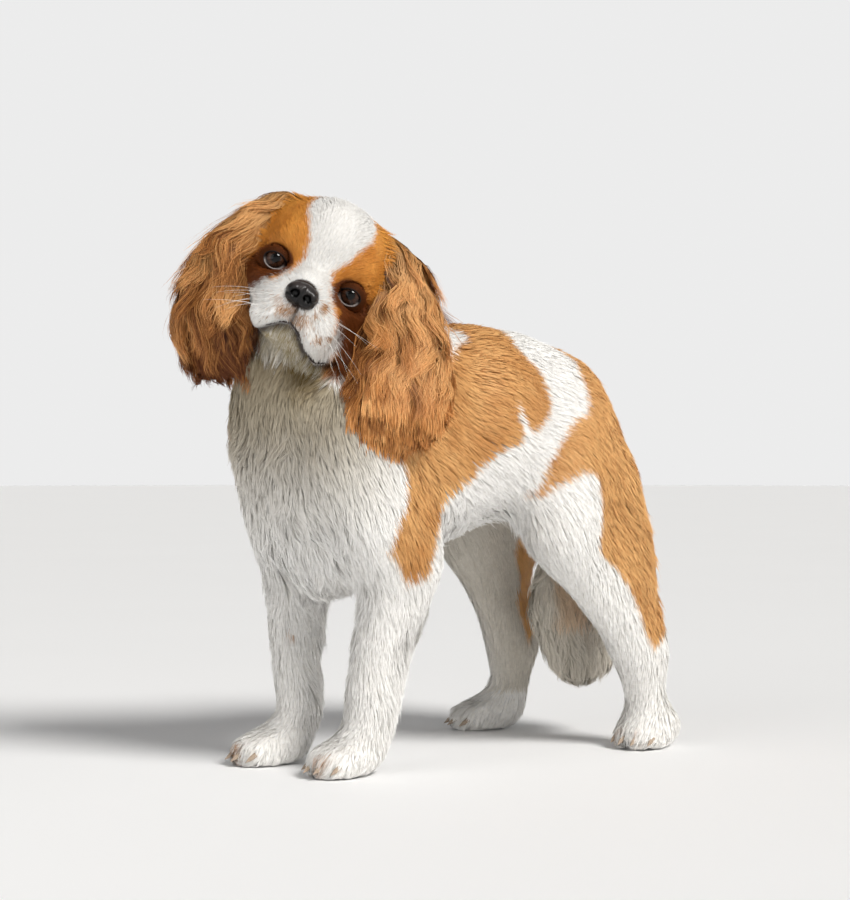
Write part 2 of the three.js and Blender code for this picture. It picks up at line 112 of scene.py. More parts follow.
# The lie of the coat. Each line is a place, the way the hair runs there, its length, and how far
# its tips stand off the skin. Lines of the body stand for both sides.
BODY_LIE = [
    (0, -60, 338, 0, 0.85, -0.35, 16, 3.9),
    (45, -80, 315, 0.1, 0.6, -0.8, 17.5, 4.4),
    (50, -120, 280, 0.1, 0.25, -1, 17.5, 4.4),
    (0, -165, 290, 0, -0.05, -1, 16, 3.9),
    (0, -170, 240, 0, 0, -1, 27, 5.6),
    (30, -165, 240, 0.25, 0, -1, 25.5, 5.6),
    (0, -165, 190, 0, 0.05, -1, 30.5, 6),
    (30, -155, 180, 0.2, 0.05, -1, 27, 5.6),
    (0, -140, 140, 0, 0.15, -1, 30.5, 6),
    (0, -105, 118, 0, 0.35, -0.9, 27, 5.6),
    (55, -145, 215, 0.3, 0.25, -0.95, 16, 4.4),
    (75, -110, 215, 0.1, 0.5, -0.9, 15, 3.9),
    (80, -95, 170, 0, 0.35, -0.95, 12.5, 3.3),
    (62, -60, 150, 0, 0.6, -0.8, 16, 3.9),
    (75, -50, 230, 0, 0.8, -0.6, 15, 3.9),
    (72, 0, 240, 0, 0.9, -0.4, 15, 3.9),
    (68, 45, 245, 0, 0.9, -0.4, 15, 3.9),
    (40, 0, 305, 0.15, 0.95, -0.2, 13.5, 3.3),
    (0, 0, 320, 0, 1, -0.03, 13.5, 3.3),
    (0, -40, 322, 0, 1, -0.05, 15, 3.3),
    (0, 60, 318, 0, 1, -0.1, 13.5, 3.3),
    (0, 110, 300, 0, 0.85, -0.55, 15, 3.9),
    (45, 100, 280, 0.2, 0.75, -0.6, 13.5, 3.3),
    (0, 145, 265, 0, 0.5, -0.9, 16, 3.9),
    (55, 130, 235, 0.2, 0.5, -0.85, 15, 3.9),
    (60, 0, 190, 0, 0.8, -0.6, 16, 3.9),
    (0, -40, 163, 0, 0.9, -0.3, 17.5, 4.4),
    (0, 20, 174, 0, 0.9, -0.3, 16, 4.4),
    (30, 60, 180, 0, 0.7, -0.7, 16, 3.9),
    (70, 45, 195, 0.1, 0.6, -0.8, 16, 3.9),
    (78, 75, 200, 0.1, 0.4, -0.9, 12.5, 2.8),
    (80, 90, 165, 0.05, 0.35, -0.95, 11, 2.8),
    (70, 45, 165, 0, 0.5, -0.9, 13.5, 3.3),
    (75, 140, 180, 0.1, 0.4, -0.9, 27, 6.5),
    (80, 145, 140, 0.05, 0.3, -1, 25.5, 5.9),
    (72, 75, 120, 0, 0.25, -1, 8.5, 2.2),
    (80, 110, 100, 0.05, 0.2, -1, 9.5, 2.2),
    (75, 160, 90, 0, 0.15, -1, 12.5, 2.8),
    (70, 125, 50, 0, 0, -1, 7, 1.7),
    (75, 160, 45, 0, 0.1, -1, 8, 1.9),
    (35, 90, 150, -0.1, 0.45, -0.9, 12.5, 2.8),
    (45, -130, 110, 0, 0.05, -1, 8.5, 2.2),
    (60, -105, 100, 0, 0.1, -1, 9.5, 2.2),
    (48, -75, 100, 0, 0.5, -0.85, 25.5, 5.9),
    (44, -80, 60, 0, 0.45, -0.9, 17.5, 3.9),
    (38, -125, 50, 0, -0.05, -1, 6, 1.7),
    (30, -105, 90, -0.1, 0.1, -1, 8.5, 2.2),
    (40, -97, 140, 0, 0.5, -0.85, 26, 7),
    (40, -98, 105, 0, 0.5, -0.85, 25, 7),
    (38, -98, 65, 0, 0.45, -0.9, 20, 6),
    (38, -30, 170, 0.1, 0.45, -0.9, 26, 7),
    (38, 20, 178, 0.1, 0.45, -0.9, 25, 7),
]

# The same for the head, in its own frame and for both sides.
HEAD_LIE = [
    (0, 66, -16, 0, -1, 0.25, 3.2, 1),
    (10, 62, -20, 0.3, -0.95, 0.1, 4, 1.1),
    (0, 44, 4, 0, -0.35, 0.94, 4.8, 1.4),
    (0, 34, 26, 0, -0.6, 0.8, 7, 1.9),
    (0, -5, 48, 0, -1, 0, 11, 2.8),
    (20, 24, 28, 0.45, -0.6, 0.5, 8, 2.1),
    (35, 0, 35, 0.6, -0.7, -0.4, 14.5, 3.2),
    (0, -52, 20, 0, -0.4, -0.9, 17.5, 4),
    (38, -35, 5, 0.3, -0.5, -0.8, 17.5, 4),
    (14, 42, -6, 0.3, -0.3, 0.9, 4, 1.2),
    (28, 38, 2, 0.6, -0.5, 0.5, 5.6, 1.6),
    (18, 50, -20, 0.5, -0.7, -0.5, 4, 1.2),
    (30, 40, -30, 0.6, -0.6, -0.5, 6.5, 1.6),
    (42, 20, -20, 0.5, -0.7, -0.5, 9.5, 2.4),
    (42, 8, -42, 0.2, -0.7, -0.7, 13, 3.2),
    (22, 66, -38, 0.45, -0.75, -0.4, 4.8, 1.3),
    (30, 52, -48, 0.35, -0.7, -0.6, 6.5, 1.6),
    (20, 62, -58, 0.2, -0.55, -0.8, 5.6, 1.6),
    (6, 78, -44, 0.3, -0.3, -0.9, 3.2, 1),
    (0, 62, -62, 0, -0.4, -0.9, 9, 2.2),
    (12, 40, -70, 0.1, -0.7, -0.7, 10.5, 3.2),
    (0, 10, -66, 0, -0.5, -0.85, 16, 4.8),
]

# The same for a paw: place and way as across, ahead, up from its middle, and length.
PAW_LIE = [
    ((0, 2, 28), (0, 0.7, -0.7), 7),
    ((0, 26, 14), (0, 0.8, -0.6), 13),
    ((14, 24, 12), (0.2, 0.75, -0.6), 13),
    ((-14, 24, 12), (-0.2, 0.75, -0.6), 13),
    ((22, 6, 12), (0.2, 0.3, -0.9), 7),
    ((-22, 6, 12), (-0.2, 0.3, -0.9), 7),
    ((0, -24, 14), (0, -0.2, -1), 8),
]

# The same for the ears and the tail, each for one side only.
EAR_LIE = [
    (29, -80, 371, 0.5, 0.1, -0.85, 51, 4),
    (50, -78, 335, 0.35, -0.15, -0.92, 56, 5),
    (67, -92, 294, 0.28, -0.22, -0.93, 43, 5.5),
    (76, -104, 262, 0.1, -0.15, -1, 22, 6),
    (82, -109, 242, 0.05, -0.05, -1, 7, 5),
    (-17, -138, 402, -0.3, -0.75, -0.6, 47.5, 4),
    (-23, -164, 380, -0.2, -0.5, -0.85, 51, 5),
    (-30, -184, 350, -0.1, -0.2, -0.97, 47.5, 5.5),
    (-35, -191, 320, 0, 0.05, -1, 37.5, 5.5),
    (-35, -183, 294, 0.1, 0.25, -0.97, 18, 6),
]
TAIL_LIE = [
    (0, 150, 250, 0, 0.3, -0.95, 21.5, 4.2),
    (0, 185, 200, 0, 0.4, -0.92, 30, 6.5),
    (0, 190, 150, 0, 0.4, -0.92, 34.5, 7),
    (0, 190, 100, 0, 0.3, -0.95, 31.5, 7),
    (0, 115, 120, 0, -0.05, -1, 24.5, 5.6),
    (0, 100, 90, 0, -0.05, -1, 24.5, 6.5),
    (18, 145, 110, 0.2, 0.1, -1, 29, 5.6),
    (-20, 145, 110, -0.2, 0.1, -1, 29, 5.6),
    (0, 150, 60, 0, 0.15, -1, 18.5, 7),
]

# The pieces of flesh that the skin stands for. A region is a place in this list.
FLESH = ["head", "lower_jaw", "ear_left", "ear_right", "neck", "chest", "loin", "rump", "tail"]
LIMBS = ("foreleg", "thigh", "shank", "forepaw", "hindpaw")
FLESH += [limb + side for limb in LIMBS for side in ("_left", "_right")]

# The edge of the upper lip, as left and up in the head's frame.
LIP = [(-42, -49), (-29, -57), (-19, -62), (-13, -57), (-6, -51), (1, -48.5), (9, -52.5)]
LIP = np.array(LIP + [(17, -60.5), (27, -66), (36, -61), (46, -49)], float)

# Tan flecks on the white of the muzzle: left and up in the head's frame, half width, half height,
# strength.
FACE_FLECKS = [
    (-4, -43, 11, 7, 0.85),
    (7, -46, 9, 7, 0.85),
    (-13, -39, 4, 4, 0.5),
    (14.5, -38, 2.5, 3, 0.9),
    (17.6, -31, 3.8, 5, 1.1),
    (23, -51.7, 3, 3, 1.1),
    (29.4, -47.8, 2.3, 2.3, 1.0),
]

# Tan flecks on the legs: place, radius, strength.
LEG_FLECKS = [(44, -130, 100, 4, 0.6), (-30, -120, 92, 3.5, 0.5), (62, -112, 60, 5, 0.2)]

# Lumps that join the ears and the tail to the body before the skin is drawn: place, radius.
ROOTS = [((28, -84, 372), 13), ((-14, -132, 398), 12), ((0, 136, 256), 14)]

# Rings of an eyelid: distance outwards from the eye's opening, distance from the eye's middle,
# share of the fur's colour over the dark lid, and how pale the lower rim is.
LID_RINGS = [
    (0, 10.1, 0, 0.5),
    (0.1, 10.6, 0, 1),
    (0.5, 11, 0, 0.35),
    (1, 11.1, 0.15, 0),
    (1.6, 11.05, 0.4, 0),
    (2.6, 10.9, 0.8, 0),
    (4.6, 10.7, 1, 0),
]

# How the coat is made. Only some hairs, the guides, are grown, and the others follow them.
HAIRS_TO_A_GUIDE = 9
GUIDES_TO_A_LOCK = 12
OFF_SKIN = 7  # mm above the roots where neighbours are looked for, so that folds keep apart
LID_HAIRS = 1800
MOST_TRIANGLES = 200000
TUFT_PATCH = 0.003  # a hair's patch on the unwrap
POINTS_AT_A_TIME = 20000

# Coat pieces: name, pieces of flesh, side kept, hairs, points along a hair, and width at the root.
COATS = [
    ("coat_head", ("head", "lower_jaw"), 0, 62000, 3, 0.36),
    ("coat_ear_left", ("ear_left",), 0, 13000, 8, 0.6),
    ("coat_ear_right", ("ear_right",), 0, 11500, 8, 0.6),
    ("coat_neck", ("neck",), 0, 14500, 5, 0.82),
    ("coat_chest_left", ("chest",), 1, 20000, 5, 0.9),
    ("coat_chest_right", ("chest",), -1, 16000, 5, 0.92),
    ("coat_back_left", ("loin", "rump"), 1, 37000, 3, 0.73),
    ("coat_back_right", ("loin", "rump"), -1, 24500, 3, 0.85),
    ("coat_foreleg_left", ("foreleg_left", "forepaw_left"), 0, 34000, 3, 0.58),
    ("coat_foreleg_right", ("foreleg_right", "forepaw_right"), 0, 27000, 3, 0.62),
    ("coat_hindleg_left", ("thigh_left", "shank_left", "hindpaw_left"), 0, 36000, 3, 0.66),
    ("coat_hindleg_right", ("thigh_right", "shank_right", "hindpaw_right"), 0, 28000, 3, 0.7),
    ("coat_tail", ("tail",), 0, 8500, 6, 0.72),
]


# Small helpers.
def unit(vectors):
    vectors = np.asarray(vectors, float)
    return vectors / np.maximum(np.linalg.norm(vectors, axis=-1, keepdims=True), 1e-9)


def smooth_step(low, high, values):
    t = np.clip((values - low) / (high - low), 0, 1)
    return t * t * (3 - 2 * t)


def falloff(near, far, values):
    """1 up to the near value, 0 from the far one."""
    return 1 - smooth_step(near, far, values)


def bell(values):
    return np.exp(-(values**2))


def circle(count):
    return np.linspace(0, 2 * math.pi, count, endpoint=False)


def span(points, middle, size):
    """Distance from the middle of an ellipsoid, 1 on its surface."""
    return np.linalg.norm((points - middle) / size, axis=1)


def blended(table, cell, share):
    """Values of a 3-D table at cells, blended with the next cells by a share for each axis."""
    total = 0
    for corner in range(8):
        step = np.array([corner & 1, corner >> 1 & 1, corner >> 2])
        i, j, k = ((cell + step) % table.shape).T
        total = total + np.prod(np.where(step, share, 1 - share), axis=1) * table[i, j, k]
    return total


def noise(points, scale, seed):
    """Smooth noise from -1 to 1 that changes over about the scale."""
    lattice = np.random.default_rng(seed).uniform(-1, 1, (32, 32, 32))
    cell = np.floor(points / scale).astype(int)
    share = points / scale - cell
    return blended(lattice, cell, share * share * (3 - 2 * share))


def nearest(places, wanted):
    """The number of the nearest place to each wanted point."""
    tree = KDTree(len(places))
    for i, place in enumerate(places.tolist()):
        tree.insert(place, i)
    tree.balance()
    return np.array([tree.find(place)[1] for place in wanted.tolist()])


def tree_of(points, triangles):
    return BVHTree.FromPolygons(points.tolist(), triangles.tolist())


def of_flesh(regions, *names):
    """Which regions are one of the named pieces of flesh."""
    return np.isin(regions, [FLESH.index(name) for name in names])


def on_ears(regions):
    return of_flesh(regions, "ear_left", "ear_right")


def from_eyes(q):
    """For each eye: its side, and points of the head's frame measured from its middle."""
    for side in (1, -1):
        yield side, q - EYE * [side, 1, 1]


def from_toes(points, height, size):
    """For each paw: how far points are from its toes, 1 on an ellipsoid of the size."""
    for (x, y), turn in STANCES.values():
        toes = [x + 24 * math.sin(turn), y - 24 * math.cos(turn), height]
        yield span(points, toes, size)


# The lie of the coat as tables of arrays.
def paw_lie():
    """Lines for the paws, turned with each paw."""
    lines = []
    for (x, y), turn in STANCES.values():
        ahead = np.array([math.sin(turn), -math.cos(turn), 0])
        across = np.array([math.cos(turn), math.sin(turn), 0])
        axes = np.array([across, ahead, [0, 0, 1]])
        for place, way, length in PAW_LIE:
            lines.append((*([x, y, 0] + place @ axes), *(way @ axes), length, 2.2))
    return lines


def all_lie():
    """Tables of the lie of the coat, in the dog's frame: body with head, ears, tail."""
    body, head = (np.array(table, float) for table in (BODY_LIE, HEAD_LIE))
    mirror = [-1, 1, 1, -1, 1, 1, 1, 1]
    body, head = (np.vstack([t, t[t[:, 0] != 0] * mirror]) for t in (body, head))
    head = np.hstack([head_point(head[:, :3]), head[:, 3:6] @ HEAD, head[:, 6:]])
    return {
        "body": np.vstack([body, head, paw_lie()]),
        "ear": np.array(EAR_LIE, float),
        "tail": np.array(TAIL_LIE, float),
    }


LIE = all_lie()


def lie_of(points, table):
    """The way of the hair, its length and its depth at points, from the lines of a table."""
    found = np.zeros((len(points), 5))
    values = np.hstack([unit(table[:, 3:6]), table[:, 6:8]])
    for start in range(0, len(points), POINTS_AT_A_TIME):
        part = slice(start, start + POINTS_AT_A_TIME)
        gap = ((points[part, None] - table[None, :, :3]) ** 2).sum(2)
        share = 1 / (gap + 50) ** 2.2
        found[part] = share / share.sum(1, keepdims=True) @ values
    return unit(found[:, :3]), found[:, 3], found[:, 4]


def lie_by_region(points, regions):
    """The same, with each point's table picked by its piece of flesh."""
    way = np.zeros((len(points), 3))
    length, depth = np.zeros((2, len(points)))
    ear, tail = on_ears(regions), of_flesh(regions, "tail")
    for name, here in (("body", ~(ear | tail)), ("ear", ear), ("tail", tail)):
        if here.any():
            way[here], length[here], depth[here] = lie_of(points[here], LIE[name])
    return way, length, depth


# Meshes to arrays and back.
def mesh_of(built, name):
    """A new mesh with what was built, which is freed."""
    mesh = bpy.data.meshes.new(name)
    built.to_mesh(mesh)
    built.free()
    return mesh


def mesh_arrays(mesh):
    """Vertices and triangles of a mesh."""
    mesh.calc_loop_triangles()
    points = np.zeros(len(mesh.vertices) * 3)
    mesh.vertices.foreach_get("co", points)
    triangles = np.zeros(len(mesh.loop_triangles) * 3, np.int32)
    mesh.loop_triangles.foreach_get("vertices", triangles)
    return points.reshape(-1, 3), triangles.reshape(-1, 3)


def new_mesh(name, points, corners, sizes):
    """A mesh from vertices, the corners of all faces in one row, and the size of each face."""
    mesh = bpy.data.meshes.new(name)
    mesh.vertices.add(len(points))
    mesh.vertices.foreach_set("co", np.ascontiguousarray(points, np.float32).ravel())
    mesh.loops.add(len(corners))
    mesh.loops.foreach_set("vertex_index", np.ascontiguousarray(corners, np.int32))
    mesh.polygons.add(len(sizes))
    starts = np.concatenate([[0], np.cumsum(sizes)[:-1]]).astype(np.int32)
    mesh.polygons.foreach_set("loop_start", starts)
    mesh.update(calc_edges=True)
    mesh.validate()
    mesh.shade_smooth()
    return mesh


def place_vertices(mesh, points):
    """Vertices of a mesh moved to points of the dog's frame."""
    mesh.vertices.foreach_set("co", to_scene(points).astype(np.float32).ravel())
    mesh.update()


def ring_corners(rows, around):
    """Corners of the faces between rows of closed rings."""
    row, turn = (part.ravel() for part in np.mgrid[: rows - 1, :around])
    near, far = row * around, (row + 1) * around
    after = (turn + 1) % around
    return np.stack([near + turn, near + after, far + after, far + turn], 1).ravel()


def ring_mesh(name, rings):
    """A mesh of closed rings in the head's frame, joined one to the next."""
    rows, around, _ = rings.shape
    points = to_scene(rings.reshape(-1, 3) @ HEAD + SKULL)
    return new_mesh(name, points, ring_corners(rows, around), np.full((rows - 1) * around, 4))


def new_object(name, mesh, material, replaced=()):
    """A piece of the model that rides on the root."""
    piece = bpy.data.objects.new(name, mesh)
    bpy.context.scene.collection.objects.link(piece)
    mesh.materials.append(material)
    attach(piece, "root")
    if replaced:
        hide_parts(*replaced)
    return piece


def set_colours(mesh, colours):
    layer = mesh.color_attributes.new("coat_colour", "FLOAT_COLOR", "POINT")
    rgba = np.ones((len(colours), 4), np.float32)
    rgba[:, :3] = colours
    layer.data.foreach_set("color", rgba.ravel())


def remeshed(mesh, cell):
    """A new mesh of even cells over the closed shapes of an old one, which is removed."""
    holder = bpy.data.objects.new("rough", mesh)
    bpy.context.scene.collection.objects.link(holder)
    remesh = holder.modifiers.new("remesh", "REMESH")
    remesh.mode = "VOXEL"
    remesh.voxel_size = cell
    bpy.context.view_layer.update()
    seen = holder.evaluated_get(bpy.context.evaluated_depsgraph_get())
    made = bpy.data.meshes.new_from_object(seen)
    bpy.data.objects.remove(holder)
    bpy.data.meshes.remove(mesh)
    return made


def softened(points, edges, rounds, share=0.5):
    """Points drawn towards the middle of their neighbours."""
    count = np.bincount(edges.ravel(), minlength=len(points))[:, None]
    for _ in range(rounds):
        total = np.zeros_like(points)
        for axis in range(points.shape[1]):
            for near, far in (edges.T, edges.T[::-1]):
                total[:, axis] += np.bincount(near, points[far, axis], len(points))
        points = points + share * (total / np.maximum(count, 1) - points)
    return points


def normals_of(points, triangles):
    a, b, c = (points[triangles[:, i]] for i in range(3))
    face = np.cross(b - a, c - a)
    out = np.zeros_like(points)
    for corner in range(3):
        for axis in range(3):
            out[:, axis] += np.bincount(triangles[:, corner], face[:, axis], len(points))
    return unit(out)


# Markings. A patch of the side is an outline of Y and Z, left side first.
PATCHES = {
    1: [
        # saddle, from the back down to the elbow
        [(-6, 335), (-14, 308), (-62, 287), (-110, 250), (-104, 220), (-101, 205), (-104, 190)]
        + [(-109, 171), (-113, 156), (-100, 136), (-81, 139), (-73, 164), (-61, 178), (-48, 192)]
        + [(-36, 204), (-24, 215), (-8, 226), (9, 232), (12, 262), (19, 240), (24, 240)]
        + [(44, 253), (50, 266), (49, 279), (38, 290), (30, 302), (42, 320), (42, 335)],
        # rump and the back of the thigh
        [(80, 330), (97, 291), (88, 263), (72, 248), (55, 233), (40, 216), (25, 192), (47, 202)]
        + [(62, 207), (78, 210), (88, 204), (84, 180), (84, 152), (103, 136), (119, 106)]
        + [(133, 76), (150, 90), (230, 150), (230, 330)],
    ],
    -1: [
        [(-20, 335), (-40, 300), (-84, 283), (-112, 274), (-140, 266), (-152, 248), (-146, 230)]
        + [(-124, 222), (-114, 205), (-108, 184), (-104, 160), (-88, 146), (-68, 172), (-40, 190)]
        + [(-10, 205), (18, 222), (38, 244), (46, 268), (36, 292), (44, 320), (42, 335)],
        [(84, 330), (92, 296), (80, 268), (58, 250), (44, 228), (50, 208), (78, 200), (96, 186)]
        + [(104, 160), (116, 130), (124, 100), (134, 70), (150, 90), (230, 150), (230, 330)],
    ],
}

# Edges of the white blaze: angle round the head from the muzzle upwards, right edge, left edge.
BLAZE = [(-60, -44, 44), (-45, -38, 36), (-30, -34, 35), (-21, -29, 30), (-10, -18, 20)]
BLAZE += [(-3, -12, 13), (5, -10.5, 11), (20, -12, 19), (38, -21, 24), (60, -25, 25)]
BLAZE = np.array(BLAZE + [(90, -22, 20), (115, -10, 10), (128, 0, 0), (180, 0, 0)], float)

# Where the chestnut is darkest, as middles and half sizes in the head's frame: on the cheeks,
# partly their own deeper red and partly painted shade, the third in the hollow between the right
# ear and the chin; and at the lower tips of the ears, painted shade, with a depth first.
DARK_CHEEKS = [
    ([34, 36, -33], [17, 28, 23]),
    ([-33, 36, -31], [16, 28, 19]),
    ([-29, 12, -64], [18, 23, 22]),
    ([49, 36, -58], [12, 20, 16]),
]
EAR_END_SHADE = [(0.6, ([-34, 14, -88], 44)), (0.3, ([66, 40, -96], 60))]

# Fixed colours of single hairs and of the lids.
TAN = np.array([0.38, 0.175, 0.055])
DARK_HAIR = np.array([0.03, 0.017, 0.012])
LID_DARK = np.array([0.012, 0.008, 0.007])
LID_PALE = np.array([0.4, 0.34, 0.32])


def outline_distance(points, outline):
    """Distance of 2-D points to a closed outline, negative inside."""
    outline = np.array(outline, float)
    best = np.full(len(points), 1e9)
    inside = np.zeros(len(points), bool)
    for a, b in zip(outline, np.roll(outline, -1, axis=0)):
        edge = b - a
        rel = points - a
        t = np.clip(rel @ edge / (edge @ edge), 0, 1)
        best = np.minimum(best, np.linalg.norm(rel - t[:, None] * edge, axis=1))
        crosses = (a[1] > points[:, 1]) != (b[1] > points[:, 1])
        slope = (points[:, 1] - a[1]) / np.where(abs(edge[1]) < 1e-9, 1e-9, edge[1])
        inside ^= crosses & (points[:, 0] < a[0] + slope * edge[0])
    return np.where(inside, -best, best)


def marked_body(points):
    """Chestnut on the trunk and legs, as a distance that is negative inside a patch."""
    warp = np.stack([noise(points, 17, seed) for seed in (1, 2)], 1) * 3.5
    flat = points[:, 1:] + warp
    out = np.full(len(points), 1e9)
    for side, patches in PATCHES.items():
        here = points[:, 0] * side > 0
        for patch in patches:
            out[here] = np.minimum(out[here], outline_distance(flat[here], patch))
    # The inner side of the hind legs is white.
    inner = 26 - np.abs(points[:, 0])
    low = (inner > 0) & (points[:, 2] < 235) & (points[:, 1] > 20) & (points[:, 1] < 112)
    return np.where(low, np.maximum(out, inner), out)


def marked_head(points):
    """Chestnut on the head, negative inside, with the blaze and muzzle left out."""
    q = in_head(points)
    warp = noise(points, 9, 3) * 1.8
    turn = np.degrees(np.arctan2(q[:, 2] + 10, q[:, 1]))
    right, left = (np.interp(turn, BLAZE[:, 0], edge) for edge in BLAZE.T[1:])
    out = np.minimum(q[:, 0] - right, left - q[:, 0]) + warp
    return np.maximum(out, np.minimum(-(q[:, 2] + 50 + warp), 30))


def chestnut_share(points, regions):
    """How chestnut the coat is at points, 0 to 1."""
    q = in_head(points)
    out = marked_body(points)
    head = of_flesh(regions, "head", "lower_jaw")
    out[head] = marked_head(points[head])
    out[on_ears(regions)] = -20
    neck = of_flesh(regions, "neck")
    nape = np.maximum(-points[:, 1] - 66, 318 - points[:, 2]) + 200 * (points[:, 1] < -110)
    out[neck] = np.minimum(np.maximum(out, 0), nape)[neck]
    for middle in ([-30, 10, -65], [49, 32, -58]):
        cheek = span(q, middle, [18, 24, 20]) * 12 - 12
        out = np.where(neck | head, np.minimum(out, cheek), out)
    # The root of the tail is chestnut, and a faint stripe runs down it.
    tail = of_flesh(regions, "tail")
    stripe = np.maximum(np.abs(points[:, 1] - 122) * 0.5 - 8, 90 - points[:, 2])
    out = np.where(tail, np.where(points[:, 2] > 175, -8, stripe), out)
    share = falloff(-2.2, 2.2, out)
    return np.where(tail & (points[:, 2] < 175), share * 0.4, share)


def flecks(points, q, regions, jitter):
    """How tan the white is at points: flecks on the muzzle and legs, and the toes."""
    out = np.zeros(len(points))
    muzzle = (q[:, 1] > 40) & of_flesh(regions, "head", "lower_jaw")
    ragged = 1 + 0.6 * noise(points, 1.3, 61) + 0.35 * jitter[:, 3]
    for left, up, wide, high, strength in FACE_FLECKS:
        gap = np.hypot((q[:, 0] - left) / wide, (q[:, 2] - up) / high) * ragged
        out = np.maximum(out, strength * falloff(0.3, 1.25, gap) * muzzle)
    for x, y, z, radius, strength in LEG_FLECKS:
        out = np.maximum(out, strength * falloff(0.5, 1.3, span(points, [x, y, z], radius)))
    patchy = 0.75 * smooth_step(-0.15, 0.6, noise(points, 7, 62))
    for gap in from_toes(points, 6, [20, 13, 11]):
        out = np.maximum(out, patchy * falloff(0.5, 1.1, gap))
    return out


def chestnut_colours(points, q, regions, jitter):
    """The chestnut at points, and its tone: 0 is the main colour, 1 the light, -1 the dark. The
    tone has painted light high on the ears and the head, and painted shade on the cheeks, round the
    eyes and at the ear tips.
    """
    look = bpy.context.scene.spaniel_coat
    ear = on_ears(regions)
    head = of_flesh(regions, "head", "lower_jaw", "neck")
    tone = noise(points, 13, 5) * 0.35 + noise(points, 5, 6) * np.where(ear, 0.3, 0.12)
    tone = tone + jitter[:, 0] * 0.42 * np.where(ear, 2.1, 0.4)
    # Darker chestnut on the cheeks, partly their own deeper red and partly painted shade.
    dark = falloff(0.6, 1.3, np.min([span(q, *cheek) for cheek in DARK_CHEEKS], axis=0))
    # Painted shade round the eyes.
    for _, rel in from_eyes(q):
        ring = np.hypot(rel[:, 0] / 8, rel[:, 2] / 7) + 10 * (rel[:, 1] < -6)
        dark = np.maximum(dark, 1.15 * falloff(1.1, 1.9, ring))
    # Painted shade at the lower tips of the ears.
    tips = [deep * falloff(0, 1, span(q, *tip)) for deep, tip in EAR_END_SHADE]
    dark = np.where(ear, np.max(tips, axis=0), dark)
    # Painted light: the chestnut grows lighter up the ears and up the head; on the body it is
    # lighter overall and towards the rump.
    ear_painted_light = 0.1 + 0.5 * smooth_step(-60, 25, q[:, 2])
    head_painted_light = 0.1 + 0.35 * smooth_step(8, 46, q[:, 2])
    body_pale = 0.5 + 0.35 * smooth_step(40, 90, points[:, 1])
    pale = np.where(ear, ear_painted_light, np.where(head, head_painted_light, body_pale))
    tone = (tone + pale * 1.2 - dark * 2.4)[:, None]
    main, light, deep = look.chestnut, look.chestnut_light, look.chestnut_dark
    main, light, deep = np.array(main), np.array(light), np.array(deep)
    red = main + (deep - main) * np.clip(-tone, 0, 1) + (light - main) * np.clip(tone, 0, 1)
    cast = np.where(head[:, None], [1.06, 0.86, 0.38], [1, 0.97, 0.85])
    return red * np.where(ear[:, None], [1.03, 0.94, 0.8], cast), tone


def shaded(points, regions):
    """How grey the white is: painted shade on the throat under the head, on the tail and on the
    inner side of the far hind leg.
    """
    grey = smooth_step(-30, 30, -points[:, 1] - 120) * smooth_step(150, 250, points[:, 2])
    grey = grey * (1 + 0.6 * smooth_step(190, 285, points[:, 2]))
    grey = np.where(of_flesh(regions, "neck", "chest"), grey, 0)
    grey = np.where(of_flesh(regions, "tail"), 0.95, grey)
    far = of_flesh(regions, "thigh_right", "shank_right")
    return np.where(far, 0.8 * smooth_step(-95, -60, points[:, 0]), grey)


def white_colours(points, q, regions, jitter, tone, above, front):
    """The white at points, with its tan flecks, painted shade on the upper head and on the chin
    under the lip, and grey painted shade on the throat, the tail and the far hind leg.
    """
    head = of_flesh(regions, "head", "lower_jaw", "neck")
    # Painted shade: the white of the upper head is darker where the light falls strongest.
    head_top_shade = 1 - 0.15 * (head * smooth_step(-48, -22, q[:, 2]))[:, None]
    white = np.array(bpy.context.scene.spaniel_coat.white) * (1 + 0.05 * tone) * head_top_shade
    white = white + jitter[:, 1:2] * [0.012, 0.014, 0.018]
    fleck = np.clip(flecks(points, q, regions, jitter) * (0.85 + 0.95 * jitter[:, 2]), 0, 1)
    tan = TAN * (1 - 0.5 * np.clip(jitter[:, 1:2], -0.5, 1.5))
    white = white + (tan - white) * fleck[:, None]
    # Painted shade on the chin under the overhanging lip, with a spread from hair to hair.
    chin_shade = falloff(-5, -1, above) * smooth_step(-45, -12, above) * front
    chin_shade = chin_shade * (1 + 0.35 * noise(points, 3, 63) + 0.4 * jitter[:, 3])
    white = white * (1 - chin_shade[:, None] * [0.44, 0.5, 0.62])
    return white * (1 - shaded(points, regions)[:, None] * [0.33, 0.375, 0.45])


def dark_edge(q, jitter, above, front):
    """How dark the hair is: along the lip, partly the lip's own black and partly painted shade
    under the overhanging lip; in the crease above it as painted shade; and round the nose.
    """
    edge = 0.9 * bell((above + 2.6) / 3) * front
    fuzz = bell(q[:, 0] / 9) * bell((above - 2.5) / 4.5) * (jitter[:, 3] > 0.25)
    # Painted shade in the crease down from the nose to the lip.
    crease_shade = bell((q[:, 0] - 1.5) / 1.5) * (above > -2) * (q[:, 2] < -35)
    edge = np.maximum(edge, np.maximum(0.75 * fuzz, 0.7 * crease_shade) * (q[:, 1] > 60))
    return np.maximum(edge, falloff(0.92, 1.02, span(q, NOSE, [12, 15, 10.5])))


